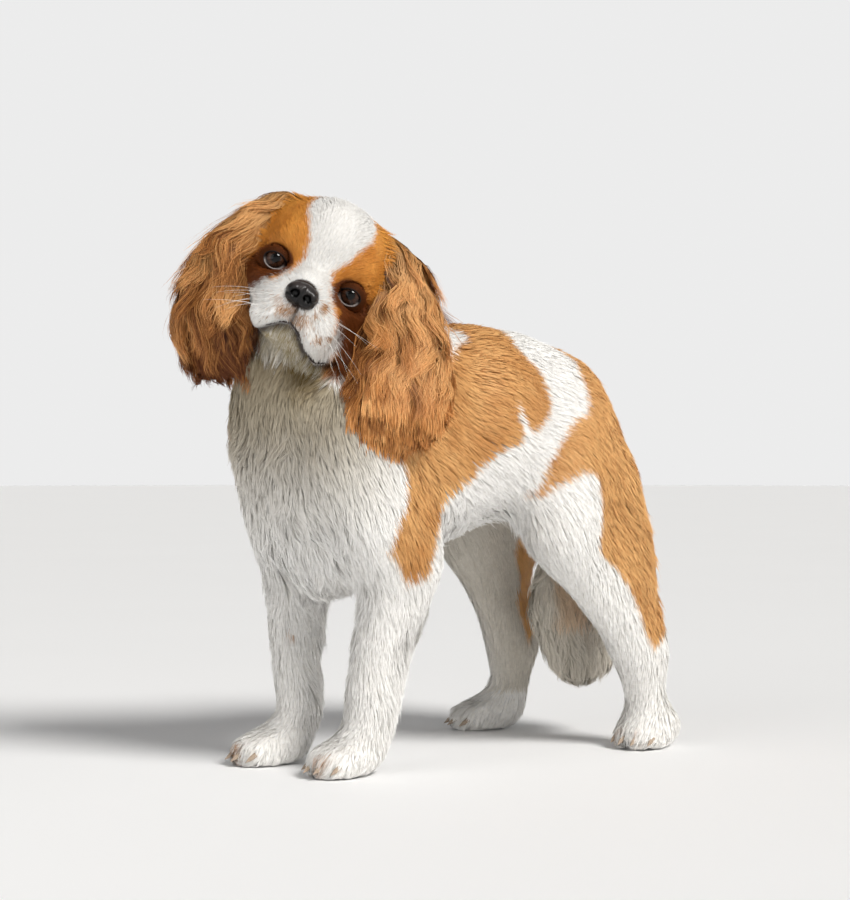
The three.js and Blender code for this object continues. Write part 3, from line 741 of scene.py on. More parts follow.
def coat_colours(points, regions, jitter):
    """The colour of the coat at points, with a spread from hair to hair."""
    q = in_head(points)
    above = q[:, 2] - lip_height(q[:, 0])
    front = (q[:, 1] > 22) * falloff(32, 42, np.abs(q[:, 0] - 3)) * ~on_ears(regions)
    share = chestnut_share(points + jitter[:, :3] * 1.6, regions)
    red, tone = chestnut_colours(points, q, regions, jitter)
    white = white_colours(points, q, regions, jitter, tone, above, front)
    out = white + (red - white) * share[:, None]
    out = out + (DARK_HAIR - out) * dark_edge(q, jitter, above, front)[:, None]
    return np.clip(out, 0.002, 0.95)


def even_colours(points, regions):
    """The same without the spread."""
    return coat_colours(points, regions, np.zeros((len(points), 4)))


# The skin and what is worked out from it once.
WORK = {}


def flesh_soup():
    """All pieces of flesh as one row of vertices and triangles, with the piece of each triangle."""
    points, triangles, region = [], [], []
    count = 0
    for i, name in enumerate((*FLESH, "nose")):
        p, t = mesh_arrays(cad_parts[name].data)
        points.append(to_dog(p))
        triangles.append(t + count)
        region += [0 if name == "nose" else i] * len(t)
        count += len(p)
    return np.vstack(points), np.vstack(triangles), np.array(region)


def joined_flesh(voxel):
    """One closed surface over all the flesh, with lumps that join the ears and the tail."""
    points, triangles, _ = flesh_soup()
    built = bmesh.new()
    for centre, radius in ROOTS:
        made = bmesh.ops.create_icosphere(built, subdivisions=3, radius=radius)
        bmesh.ops.translate(built, vec=Vector(centre), verts=made["verts"])
    lumps = mesh_of(built, "lumps")
    lump_points, lump_triangles = mesh_arrays(lumps)
    bpy.data.meshes.remove(lumps)
    triangles = np.vstack([triangles, lump_triangles + len(points)])
    points = np.vstack([points, lump_points]) / 1000
    rough = new_mesh("rough", points, triangles.ravel(), np.full(len(triangles), 3))
    return remeshed(rough, voxel / 1000)


def nearest_regions(points):
    """The piece of flesh nearest to each point."""
    flesh, triangles, region = flesh_soup()
    tree = tree_of(flesh, triangles)
    return region[[tree.find_nearest(q)[2] for q in points.tolist()]]


def edges_of(mesh):
    edges = np.zeros(len(mesh.edges) * 2, np.int32)
    mesh.edges.foreach_get("vertices", edges)
    return edges.reshape(-1, 2)


def shrunk(points, triangles, edges, depth):
    """The surface drawn inwards by a depth at each vertex, at most to near its middle."""
    inwards = -normals_of(points, triangles)
    tree = tree_of(points, triangles)
    rays = zip((points + inwards * 0.05).tolist(), inwards.tolist())
    half = np.array([(tree.ray_cast(start, way, 120)[3] or 120) / 2 for start, way in rays])
    depth = np.minimum(depth, half * 0.62)
    depth = softened(depth[:, None], edges, 6)
    for _ in range(4):
        points = points - normals_of(points, triangles) * depth / 4
        points = softened(points, edges, 2, 0.4)
    return points


class Hull:
    """Distance from the skin on a grid, negative inside, and its slope."""

    def __init__(self, points, triangles, cell=4.0):
        self.low = points.min(0) - 26
        self.cell = cell
        self.count = np.ceil((points.max(0) + 26 - self.low) / cell).astype(int) + 1
        tree = tree_of(points, triangles)
        steps = [self.low[a] + cell * np.arange(self.count[a]) for a in range(3)]
        grid = np.stack(np.meshgrid(*steps, indexing="ij"), -1).reshape(-1, 3)
        values = np.zeros(len(grid))
        for i, q in enumerate(grid.tolist()):
            place, normal, _, gap = tree.find_nearest(q)
            side = sum((a - b) * c for a, b, c in zip(q, place, normal))
            values[i] = -gap if side < 0 else gap
        self.values = values.reshape(self.count)

    def distance(self, points):
        q = np.clip((points - self.low) / self.cell, 0, self.count - 1.001)
        cell = q.astype(int)
        return blended(self.values, cell, q - cell)

    def slope(self, points):
        """The way straight out of the skin."""
        steps = np.eye(3) * self.cell / 2
        rises = [self.distance(points + h) - self.distance(points - h) for h in steps]
        return unit(np.stack(rises, 1))


def with_fine_head(mesh, points):
    """Points put on their mesh, with smaller faces where the lids and lips are."""
    place_vertices(mesh, points)
    q = in_head(points)
    fine = (q[:, 1] > 14) & (np.abs(q[:, 0]) < 60) & (q[:, 2] > -80) & (q[:, 1] < 100)
    built = bmesh.new()
    built.from_mesh(mesh)
    built.verts.ensure_lookup_table()
    edges = [e for e in built.edges if fine[e.verts[0].index] and fine[e.verts[1].index]]
    bmesh.ops.subdivide_edges(built, edges=edges, cuts=1, use_grid_fill=True)
    built.to_mesh(mesh)
    built.free()
    mesh.update()


def lip_height(left):
    return np.interp(left, LIP[:, 0], LIP[:, 1])


def shaped_face(points):
    """Lids drawn round the eyeballs, the lower jaw set back under the lip, and the lip's line."""
    look = bpy.context.scene.spaniel_face
    q = in_head(points)
    for side, rel in from_eyes(q):
        gap = np.linalg.norm(rel, axis=1)
        edge = np.hypot(rel[:, 0] / look.opening_width, rel[:, 2] / look.opening_height)
        near = (rel[:, 1] > -2) & (gap < 16)
        inner, lids = edge < 0.85, (edge >= 0.85) & (gap < 10.95)
        for here, radius in ((near & inner, 8.4), (near & lids, 10.95)):
            drawn = rel * (radius / np.maximum(gap, 1))[:, None]
            q[here] = (drawn + EYE * [side, 1, 1])[here]
    held = falloff(0.75, 1.2, span(q, NOSE, [14, 17, 12]))
    q = q + (NOSE - [0, 4, 0] - q) * (0.36 * held)[:, None]
    above = q[:, 2] - lip_height(q[:, 0])
    front = smooth_step(20, 40, q[:, 1]) * falloff(36, 46, np.abs(q[:, 0]))
    back = falloff(-3.5, -0.5, above) * falloff(12, 34, -above) * front
    full = bell((above - 6) / 6) * front * smooth_step(3, 13, np.abs(q[:, 0] - 1))
    q[:, 1] += 3.4 * full - 9.5 * back
    q[:, 2] += 1.5 * back
    q[:, 0] += full * np.where(q[:, 0] > 0, 1.4, -2.8)
    crease = bell((q[:, 0] - 1) / 1.3) * (above > -1) * (q[:, 2] < -36) * (q[:, 1] > 60)
    q[:, 1] -= 1.5 * crease
    return head_point(q)


def keep_skin(mesh, regions):
    """The skin's arrays, kept for the coat pieces."""
    points, triangles = mesh_arrays(mesh)
    points = to_dog(points)
    loops = np.zeros(len(mesh.loop_triangles) * 3, np.int32)
    mesh.loop_triangles.foreach_get("loops", loops)
    uv = np.zeros(len(mesh.loops) * 2, np.float32)
    mesh.uv_layers["OFBake"].data.foreach_get("uv", uv)
    WORK.update(points=points, triangles=triangles, normals=normals_of(points, triangles))
    WORK.update(uv=uv.reshape(-1, 2)[loops].reshape(-1, 3, 2), regions=regions)
    WORK.update(hull=Hull(points, triangles), tree=tree_of(points, triangles))


# Materials. Each is a Principled shader with a colour from nodes.
def new_material(name, roughness, specular=0.5):
    material = bpy.data.materials.new(name)
    material.use_nodes = True
    shader = material.node_tree.nodes["Principled BSDF"]
    shader.inputs["Roughness"].default_value = roughness
    shader.inputs["Specular IOR Level"].default_value = specular
    return material, material.node_tree, shader


def add_node(tree, kind, **values):
    node = tree.nodes.new(kind)
    for name, value in values.items():
        node.inputs[name.replace("_", " ")].default_value = value
    return node


def mottled(tree, colour, scale, low, high):
    """A colour made darker and lighter by noise."""
    grain = add_node(tree, "ShaderNodeTexNoise", Scale=scale, Detail=3.0)
    spread = add_node(tree, "ShaderNodeMapRange", To_Min=low, To_Max=high)
    mix = tree.nodes.new("ShaderNodeVectorMath")
    mix.operation = "SCALE"
    place = tree.nodes.new("ShaderNodeTexCoord")
    tree.links.new(place.outputs["Object"], grain.inputs["Vector"])
    tree.links.new(grain.outputs["Fac"], spread.inputs["Value"])
    tree.links.new(colour, mix.inputs[0])
    tree.links.new(spread.outputs["Result"], mix.inputs["Scale"])
    return mix.outputs["Vector"], grain


def add_bump(tree, shader, grain, strength, distance):
    rise = add_node(tree, "ShaderNodeBump", Strength=strength, Distance=distance)
    tree.links.new(grain.outputs["Fac"], rise.inputs["Height"])
    tree.links.new(rise.outputs["Normal"], shader.inputs["Normal"])


def coat_material(name, roughness, scale, bump, specular=0.35):
    """Fur or skin: the coat's own colour from the mesh, with a fine mottle."""
    found = bpy.data.materials.get(name)
    if found:
        return found
    material, tree, shader = new_material(name, roughness, specular)
    own = tree.nodes.new("ShaderNodeAttribute")
    own.attribute_name = "coat_colour"
    colour, grain = mottled(tree, own.outputs["Color"], scale, 0.84, 1.16)
    tree.links.new(colour, shader.inputs["Base Color"])
    if bump:
        add_bump(tree, shader, grain, bump, 0.001)
    return material


def plain_material(name, colour, roughness, scale, spread, bump=0.0):
    """A material of one colour, mottled by noise, with a bump of the same grain."""
    material, tree, shader = new_material(name, roughness)
    base = tree.nodes.new("ShaderNodeRGB")
    base.outputs[0].default_value = (*colour, 1)
    mixed, grain = mottled(tree, base.outputs[0], scale, 1 - spread, 1 + spread)
    tree.links.new(mixed, shader.inputs["Base Color"])
    if bump:
        add_bump(tree, shader, grain, bump, 0.0006)
    return material


# Hairs.
def sample_roots(names, side, count, rng):
    """Roots spread evenly over the named flesh: place, normal, region and place on the unwrap."""
    triangles, normals = WORK["triangles"], WORK["normals"]
    corners = WORK["points"][triangles]
    middle = corners.mean(1)
    use = of_flesh(WORK["regions"], *names)[triangles[:, 0]]
    if side:
        use &= middle[:, 0] * side > 0
    a, b, c = corners.transpose(1, 0, 2)
    area = np.linalg.norm(np.cross(b - a, c - a), axis=1)
    total = np.cumsum(area * use * root_share(middle, normals[triangles[:, 0]]))
    pick = np.searchsorted(total, rng.uniform(0, total[-1], count))
    a, b = rng.uniform(0, 1, (2, count))
    fold = a + b > 1
    a, b = np.where(fold, 1 - a, a), np.where(fold, 1 - b, b)
    share = np.stack([1 - a - b, a, b], 1)[:, :, None]
    place = (corners[pick] * share).sum(1)
    normal = unit((normals[triangles[pick]] * share).sum(1))
    uv = (WORK["uv"][pick] * share).sum(1)
    return place, normal, WORK["regions"][triangles[pick, 0]], uv


def root_share(points, normals):
    """How closely hairs stand: none on the eyes, the nose, the lip line or the soles."""
    q = in_head(points)
    share = np.ones(len(points))
    for _, rel in from_eyes(q):
        share[(rel[:, 1] > 0) & (np.hypot(rel[:, 0] / 8.6, rel[:, 2] / 7.2) < 1)] = 0
    share[span(q, NOSE, [11.8, 14, 10]) < 1] = 0
    lip = np.abs(q[:, 2] - lip_height(q[:, 0]) + 0.9) < 0.8
    share[lip & (q[:, 1] > 40) & (np.abs(q[:, 0]) < 38)] = 0
    share[(points[:, 2] < 2.5) & (normals[:, 2] < -0.6)] = 0
    return share


def stray_way(points, strength, scale):
    """A slow swirl that keeps long hair from lying too straight."""
    return np.stack([noise(points, scale, seed) * strength for seed in (41, 42, 43)], 1)



def gathered(path, roots, normals, share, length, rng):
    """Paths drawn together towards the leaders of their locks, with a bend of each lock's own."""
    leaders = rng.permutation(len(roots))[: max(len(roots) // GUIDES_TO_A_LOCK, 2)]
    above = roots + normals * OFF_SKIN
    own = nearest(above[leaders], above)
    s = np.linspace(0, 1, path.shape[1])[:, None]
    off = (roots - roots[leaders][own])[:, None]
    joined = path[leaders][own] + off * (1 - 0.85 * s)
    bend = rng.normal(0, 0.17, (len(leaders), 3))[own] * (length * share)[:, None]
    pull = share[:, None, None] * s**0.8
    return path + (joined - path) * pull + bend[:, None] * s**2, own


def grow(roots, normals, regions, count, rng):
    """The paths of guide hairs that follow the lie of the coat over the skin."""
    hull = WORK["hull"]
    ear = on_ears(regions)
    _, length, depth = lie_by_region(roots, regions)
    length = length * rng.uniform(0.85, 1.15, len(roots))
    hang = np.clip((length - 22) / 36, 0, 0.66)
    rise = depth * rng.uniform(0.7, 1.0, len(roots))
    for gap in from_toes(roots, 8, [24, 17, 14]):
        rise = rise + 3.4 * falloff(0.6, 1.2, gap)
    loose = np.clip((length - 15) / 28, 0, 1)
    wave = np.where(ear, 4.6, 6.4) * loose
    phase = np.where(ear, noise(roots, 24, 11) * 7, noise(roots, 12, 11) * 9)
    turns = 2 * math.pi * length / np.where(ear, 36, 23)
    points = roots.copy()
    path, facing = [points], [normals]
    for k in range(1, count):
        s = k / (count - 1)
        way, _, _ = lie_by_region(points, regions)
        on_ear = stray_way(points, 0.3 * loose, 34)
        on_body = stray_way(points, 0.1 + 1.25 * loose, 16)
        way = unit(way + np.where(ear[:, None], on_ear, on_body))
        out = hull.slope(points)
        along = unit(way - out * ((way * out).sum(1) * (1 - hang))[:, None])
        points = points + along * (length / (count - 1))[:, None]
        lift = rise * (1 - (1 - s) ** 1.8) - hull.distance(points)
        lift = np.where(lift > 0, lift, lift * (1 - 1.5 * hang))
        points = points + hull.slope(points) * lift[:, None]
        swing = wave * smooth_step(0, 0.45, s) * (np.sin(turns * s + phase) - 0.6 * np.sin(phase))
        path.append(points + unit(np.cross(out, along)) * swing[:, None])
        facing.append(out)
    share = loose * np.where(ear, 0.7, 0.75)
    path, lock = gathered(np.stack(path, 1), roots, normals, share, length, rng)
    path[:, :, 2] = np.maximum(path[:, :, 2], 0.5)
    return path, np.stack(facing, 1), length, lock


def clear_of_eyes(path):
    """Hairs drawn aside where they would lie over an eye."""
    q = in_head(path.reshape(-1, 3))
    for side, rel in from_eyes(q):
        flat = rel[:, [0, 2]]
        reach = np.linalg.norm(flat / [7.6, 6.4], axis=1)
        over = (rel[:, 1] > 0) & (reach < 1)
        grown = flat / np.maximum(reach, 0.05)[:, None] + EYE[[0, 2]] * [side, 1]
        q[np.ix_(over, [0, 2])] = grown[over]
    return head_point(q).reshape(path.shape)


def jitters(count, rng):
    """Four numbers for each hair that set its colour apart from its neighbours'."""
    return np.clip(rng.normal(0, 0.6, (count, 4)), -1.5, 1.5)


def hairs(names, side, count, points, width, seed):
    """Paths, facings, widths, roots on the unwrap and colours of all the hairs of a coat piece."""
    rng = np.random.default_rng(seed)
    root, normal, region, uv = sample_roots(names, side, count, rng)
    guide = rng.permutation(count)[: max(count // HAIRS_TO_A_GUIDE, 4)]
    path, facing, length, lock = grow(root[guide], normal[guide], region[guide], points, rng)
    above = root + normal * OFF_SKIN
    own = nearest(above[guide], above)
    ear = on_ears(region)
    loose = np.clip((length[own] - 16) / 30, 0, 1)
    # Each hair runs along its guide, some of them less far.
    s = np.linspace(0, 1, points)
    at = s * np.minimum(rng.uniform(0.72, 1.08, count), 1)[:, None] * (points - 1)
    low = np.minimum(at.astype(int), points - 2)
    part = (at - low)[:, :, None]
    rows = own[:, None]
    hair, face = (p[rows, low] * (1 - part) + p[rows, low + 1] * part for p in (path, facing))
    face = unit(face)
    t = s[:, None]
    tight = rng.uniform(0.0, 0.25, count) + loose * np.where(ear, 0.5, 0.25)
    off = (root - root[guide][own])[:, None]
    hair = hair + off * (1 - tight[:, None, None] * t**1.3)
    stray = rng.normal(0, 1, (count, 1, 3)) * 0.036 * length[own][:, None, None] * t**1.5
    hair = hair + stray * rng.choice([0.5, 1, 2.2], (count, 1, 1), p=[0.5, 0.4, 0.1])
    # None of it dips under the skin or the floor.
    height = WORK["hull"].distance(hair.reshape(-1, 3)).reshape(count, points)
    hair = hair + face * np.clip(0.25 * s - height, 0, 3)[:, :, None] * (t > 0)
    hair[:, :, 2] = np.maximum(hair[:, :, 2], 0.4)
    jitter = jitters(count, rng)
    jitter[:, 0] = 0.5 * jitter[:, 0] + 0.4 * rng.normal(0, 0.5, len(guide))[own]
    jitter[:, 0] += 0.9 * rng.normal(0, 0.6, lock.max() + 1)[lock][own]
    colour = coat_colours((hair[:, 0] + hair[:, -1]) / 2, region, jitter)
    wide = width * rng.uniform(0.75, 1.25, count)
    # Root and tip factors of each hair's colour: roots darker as painted shade deep in the coat,
    # tips lighter as painted light, the most on the ears.
    shade = np.where(ear, 0.82 - 0.46 * loose, 0.93 - 0.4 * loose), np.where(ear, 1.2, 1.07)
    return hair, face, wide, uv, colour, shade


def ribbons(name, hair, face, wide, uv, colour, shade, rng):
    """The mesh of hairs: each is a flat strip that narrows to a point."""
    count, points, _ = hair.shape
    run = unit(np.gradient(hair, axis=1))
    roll = rng.normal(0, 0.35, (count, 1, 1))
    across = unit(np.cross(run, face))
    across = unit(across * np.cos(roll) + np.cross(run, across) * np.sin(roll))
    front = unit(np.cross(across, run))
    front *= np.where((front * face).sum(2, keepdims=True) < 0, -1, 1)
    soft = unit(face * 0.65 + front * 0.35)
    s = np.linspace(0, 1, points)
    taper = np.where(s < 0.35, 0.85 + 0.4 * s, 1.05 * (1 - s) ** 0.7 + 0.1)[:-1]
    half = across[:, :-1] * (wide[:, None] * taper)[:, :, None] / 2
    edge = np.stack([hair[:, :-1] - half, hair[:, :-1] + half], 2).reshape(count, -1, 3)
    vertices = np.concatenate([edge, hair[:, -1:]], 1).reshape(-1, 3)
    each = 2 * points - 1
    row = [2 * k + corner for k in range(points - 2) for corner in (0, 1, 3, 2)]
    row = np.array(row + [each - 3, each - 2, each - 1])
    corners = (row + each * np.arange(count)[:, None]).ravel()
    sizes = np.tile([4] * (points - 2) + [3], count)
    mesh = new_mesh(name, to_scene(vertices), corners, sizes)
    normals = np.concatenate([np.repeat(soft[:, :-1], 2, axis=1), soft[:, -1:]], 1)
    mesh.normals_split_custom_set_from_vertices(normals.reshape(-1, 3))
    along = np.append(np.repeat(s[:-1], 2), 1.0)
    # Each hair's colour runs from painted shade at the root, a little warmer there, to painted
    # light at the tip.
    root, tip = shade
    light = root[:, None] + (tip - root)[:, None] * along
    warm = 1 - (1 - along)[:, None] * [0, 0.02, 0.06]
    tint = np.clip(colour[:, None] * light[:, :, None] * warm, 0, 1)
    set_colours(mesh, tint.reshape(-1, 3))
    aside = np.append(np.tile([-0.5, 0.5], points - 1), 0.0)
    spot = uv[:, None] + TUFT_PATCH * np.stack([aside, along - 0.5], 1)
    layer = mesh.uv_layers.new(name="OFBake")
    layer.data.foreach_set("uv", spot.reshape(-1, 2)[corners].astype(np.float32).ravel())
    return mesh


# Settings that a user would change.
class CoatSettings(bpy.types.PropertyGroup):
    density: FloatProperty(
        name="Density",
        description="Share of the full number of hairs",
        default=1.0,
        min=0.05,
        max=1.0,
    )
    voxel: FloatProperty(
        name="Skin detail",
        description="Cell of the skin's mesh, in millimetres",
        default=2.4,
        min=1.5,
        max=6,
    )
    seed: IntProperty(name="Seed", description="Seed of the hairs' scatter", default=7)
    chestnut: FloatVectorProperty(
        name="Chestnut",
        description="Main colour of the patches",
        subtype="COLOR",
        default=(0.53, 0.24, 0.078),
    )
    chestnut_light: FloatVectorProperty(
        name="Light chestnut",
        description="Sunlit hairs",
        subtype="COLOR",
        default=(0.74, 0.43, 0.19),
    )
    chestnut_dark: FloatVectorProperty(
        name="Dark chestnut",
        description="Cheeks and shaded ears",
        subtype="COLOR",
        default=(0.12, 0.036, 0.009),
    )
    white: FloatVectorProperty(
        name="White",
        description="White of the coat",
        subtype="COLOR",
        default=(0.88, 0.87, 0.85),
    )


class FaceSettings(bpy.types.PropertyGroup):
    opening_width: FloatProperty(
        name="Eye width",
        description="Half width of the eye's opening, in millimetres",
        default=7.2,
    )
    opening_height: FloatProperty(
        name="Eye height",
        description="Half height of the eye's opening, in millimetres",
        default=5.9,
    )
    whiskers: IntProperty(name="Whiskers", description="Whiskers on each side", default=9)


class StageSettings(bpy.types.PropertyGroup):
    lens: FloatProperty(
        name="Lens", description="Focal length of the camera", default=84.0, unit="CAMERA"
    )
    key_power: FloatProperty(name="Key light", description="Strength of the key light", default=3.0)
    fill_power: FloatProperty(
        name="Fill light", description="Power of the fill light", default=7.0, unit="POWER"
    )
    sky: FloatProperty(name="Sky", description="Strength of the light from all round", default=1.0)


class SPANIEL_OT_skin(bpy.types.Operator):
    """One skin over all the flesh, inside the coat by its depth"""

    bl_idname = "spaniel.skin"
    bl_label = "Skin"

    def execute(self, context):
        mesh = joined_flesh(context.scene.spaniel_coat.voxel)
        points, _ = mesh_arrays(mesh)
        with_fine_head(mesh, softened(points * 1000, edges_of(mesh), 6))
        points, triangles = mesh_arrays(mesh)
        edges = edges_of(mesh)
        points = softened(to_dog(points), edges, 1)
        regions = nearest_regions(points)
        _, _, depth = lie_by_region(points, regions)
        points = shaped_face(shrunk(points, triangles, edges, depth * 0.9))
        points[:, 2] = np.maximum(points[:, 2], 0.0)
        place_vertices(mesh, points)
        mesh.name = "skin"
        fur = coat_material("skin_fur", 0.8, 900, 0.5)
        skin = new_object("skin", mesh, fur, FLESH)
        mesh.shade_smooth()
        unwrap(skin)
        keep_skin(mesh, regions)
        # The skin is darker than the coat, most of all under the ears: painted shade between the
        # hairs.
        shade = np.where(on_ears(regions), 0.45, 0.88)[:, None]
        set_colours(mesh, even_colours(points, regions) * shade)
        return {"FINISHED"}


def unwrap(piece):
    """An unwrap of the skin's own shape, in a layer named OFBake."""
    piece.data.uv_layers.new(name="OFBake")
    bpy.ops.object.select_all(action="DESELECT")
    piece.select_set(True)
    bpy.context.view_layer.objects.active = piece
    bpy.ops.object.mode_set(mode="EDIT")
    bpy.ops.mesh.select_all(action="SELECT")
    bpy.ops.uv.smart_project(angle_limit=math.radians(66), island_margin=0.003)
    bpy.ops.object.mode_set(mode="OBJECT")


class SPANIEL_OT_coat(bpy.types.Operator):
    """Hairs over the skin, one mesh for each part of the coat"""

    bl_idname = "spaniel.coat"
    bl_label = "Coat"

    def execute(self, context):
        look = context.scene.spaniel_coat
        fur = coat_material("fur", 0.55, 420, 0.0, 0.24)
        density = look.density * 1
        for i, (name, flesh, side, count, points, width) in enumerate(COATS):
            hair, *rest = hairs(flesh, side, int(count * density), points, width, look.seed + i)
            if name == "coat_head":
                hair = clear_of_eyes(hair)
            mesh = ribbons(name, hair, *rest, np.random.default_rng(100 + i))
            if len(mesh.loops) - 2 * len(mesh.polygons) >= MOST_TRIANGLES:
                raise RuntimeError(name + " has too many triangles")
            new_object(name, mesh, fur)
        return {"FINISHED"}


def eye_colours(ball, polar):
    """Pupil, streaked iris and pale rim, by the angle from the middle of the pupil."""
    around = np.arctan2(ball[:, 1], ball[:, 0])
    streak = 0.5 + 0.5 * np.sin(around * 23 + 3 * np.sin(around * 7))
    iris = np.outer(0.6 + 0.7 * streak, [0.042, 0.017, 0.009])
    polar = polar[:, None]
    pupil, rim = falloff(17, 22, polar), smooth_step(41, 47, polar)
    ring = 1 - 0.75 * smooth_step(31, 39, polar)
    low = smooth_step(0.1, 0.45, -ball[:, 1:2])
    pale = [0.02, 0.012, 0.01] + np.array([0.48, 0.44, 0.42]) * low
    return (iris * (1 - pupil) + 0.002 * pupil) * ring * (1 - rim) + pale * rim


class SPANIEL_OT_eyes(bpy.types.Operator):
    """The two eyes, each with its pupil, iris and wet shine"""

    bl_idname = "spaniel.eyes"
    bl_label = "Eyes"

    def execute(self, context):
        gaze = unit(FORWARD + UP * 0.13)
        side = unit(np.cross(gaze, UP))
        axes = np.array([side, np.cross(side, gaze), gaze])
        for name, s in (("eye_left", 1), ("eye_right", -1)):
            built = bmesh.new()
            bmesh.ops.create_uvsphere(built, u_segments=72, v_segments=54, radius=1)
            mesh = mesh_of(built, name + "_ball")
            ball, _ = mesh_arrays(mesh)
            polar = np.degrees(np.arccos(np.clip(ball[:, 2], -1, 1)))
            # The cornea stands out a little from the ball.
            radius = EYE_RADIUS - 0.25 + 0.45 * falloff(0, 42, polar)
            place_vertices(mesh, head_point(EYE * [s, 1, 1]) + ball @ axes * radius[:, None])
            mesh.shade_smooth()
            set_colours(mesh, eye_colours(ball, polar))
            wet = coat_material("wet_eye", 0.03, 700, 0.0, 0.24)
            new_object(name + "_wet", mesh, wet, [name])
        return {"FINISHED"}


def lid_rings(s, look):
    """Rings of an eyelid from the opening outwards, in the head's frame."""
    turn = circle(72)
    cos, sin = np.cos(turn), np.sin(turn)
    corner = bell((cos * s + 1) / 0.25)
    wide = cos * (look.opening_width + 2.2 * corner)
    high = sin * look.opening_height * np.where(sin > 0, 0.84 - 0.06 * sin, 1.0) - 0.8 * corner
    half = np.stack([wide, high], 1)
    rings = []
    for reach, radius, _, _ in LID_RINGS:
        flat = half + unit(half) * reach
        ahead = np.sqrt(np.maximum(radius**2 - (flat**2).sum(1), 4.0))
        rings.append(np.stack([flat[:, 0], ahead, flat[:, 1]], 1) + EYE * [s, 1, 1])
    return np.array(rings)


def lid_fur(s, look, count, seed):
    """Short hairs on an eyelid that lie away from the eye, ready for ribbons."""
    rng = np.random.default_rng(seed)
    rings = lid_rings(s, look)
    rows, around, _ = rings.shape
    row, turn = rng.uniform(2.4, rows - 1.001, count), rng.uniform(0, around, count)
    i, j = row.astype(int), turn.astype(int) % around
    a, b = (row - i)[:, None], (turn - j)[:, None]
    after = (j + 1) % around
    inner, outer = (rings[n, j] * (1 - b) + rings[n, after] * b for n in (i, i + 1))
    root = inner * (1 - a) + outer * a
    rel = root - EYE * [s, 1, 1]
    out = unit(rel)
    way = unit(rel * [1, 0, 1]) + rng.normal(0, 0.16, (count, 3))
    way = unit(way - out * (way * out).sum(1, keepdims=True) * 0.9)[:, None]
    t = np.linspace(0, 1, 3)[:, None]
    length = rng.uniform(2.2, 4.2, count)[:, None, None]
    path = head_point(root[:, None] + way * length * t + out[:, None] * (0.7 * t - 0.1))
    under = [WORK["tree"].find_nearest(p)[2] for p in path[:, 0].tolist()]
    colour = coat_colours(path[:, 1], np.zeros(count, int), jitters(count, rng))
    facing = np.repeat((out @ HEAD)[:, None], 3, axis=1)
    wide = 0.34 * rng.uniform(0.75, 1.25, count)
    # Lid hairs are darker nearer the opening: painted shade round the eye.
    near = (row / (rows - 1)) ** 2
    shade = 0.25 + 0.6 * near, 0.35 + 0.65 * near
    return path, facing, wide, WORK["uv"][under].mean(1), colour, shade, rng


class SPANIEL_OT_lids(bpy.types.Operator):
    """The eyelids, a dark rim round each eye, with their short fur"""

    bl_idname = "spaniel.lids"
    bl_label = "Eyelids"

    def execute(self, context):
        look = context.scene.spaniel_face
        lid = coat_material("lid", 0.75, 1200, 0.3, 0.12)
        _, _, fade, rim = np.array(LID_RINGS).T
        for name, s in (("eyelids_left", 1), ("eyelids_right", -1)):
            rings = lid_rings(s, look)
            around = rings.shape[1]
            points = head_point(rings.reshape(-1, 3))
            # The fur's colour on the lids is darkened as painted shade round the eye.
            fur = even_colours(points, np.zeros(len(points), int)) * 0.45
            colour = LID_DARK + (fur - LID_DARK) * np.repeat(fade, around)[:, None]
            pale = np.outer(rim, smooth_step(0.1, 0.7, -np.sin(circle(around)))).reshape(-1, 1)
            mesh = ring_mesh(name, rings)
            set_colours(mesh, colour + (LID_PALE - colour) * pale)
            new_object(name, mesh, lid)
            fringe = ribbons("coat_" + name, *lid_fur(s, look, LID_HAIRS, 60 + s))
            new_object("coat_" + name, fringe, lid)
        return {"FINISHED"}


class SPANIEL_OT_lips(bpy.types.Operator):
    """The dark edge of the upper lip, in the crease over the lower jaw"""

    bl_idname = "spaniel.lips"
    bl_label = "Lips"

    def execute(self, context):
        tree = tree_of(in_head(WORK["points"]), WORK["triangles"])
        line = []
        for x in np.linspace(-33, 38, 90):
            height = float(lip_height(x)) - 0.2
            hit = tree.ray_cast(Vector((x, 120, height)), Vector((0, -1, 0)), 100)[0]
            if hit is not None and hit.y >= 25:
                line.append((x, hit.y, height))
        if len(line) < 30:
            raise RuntimeError("the lip line misses the muzzle")
        line = np.array(line)
        for _ in range(6):
            line[1:-1] += 0.5 * ((line[:-2] + line[2:]) / 2 - line[1:-1])
        run = unit(np.gradient(line, axis=0))
        out = unit(np.cross(run, np.cross([0, 1.0, 0], run)))
        down = np.cross(run, out)
        along = np.linspace(0, 1, len(line))
        thick = np.interp(along, [0, 0.15, 0.6, 0.85, 1], [0.1, 0.7, 0.9, 1.2, 0.1])
        thick = thick * (1 + 0.5 * noise(line, 4, 52))
        turn = circle(10)[:, None]
        ring = np.cos(turn) * out[:, None] + np.sin(turn) * down[:, None]
        tube = line[:, None] + ring * thick[:, None, None] + out[:, None] * 0.2
        mesh = ring_mesh("lips", tube)
        spread = 1 + 0.4 * noise(tube.reshape(-1, 3), 2.5, 51)
        set_colours(mesh, np.outer(spread, [0.02, 0.012, 0.01]))
        new_object("lips", mesh, coat_material("lip", 0.4, 1100, 0.3))
        return {"FINISHED"}


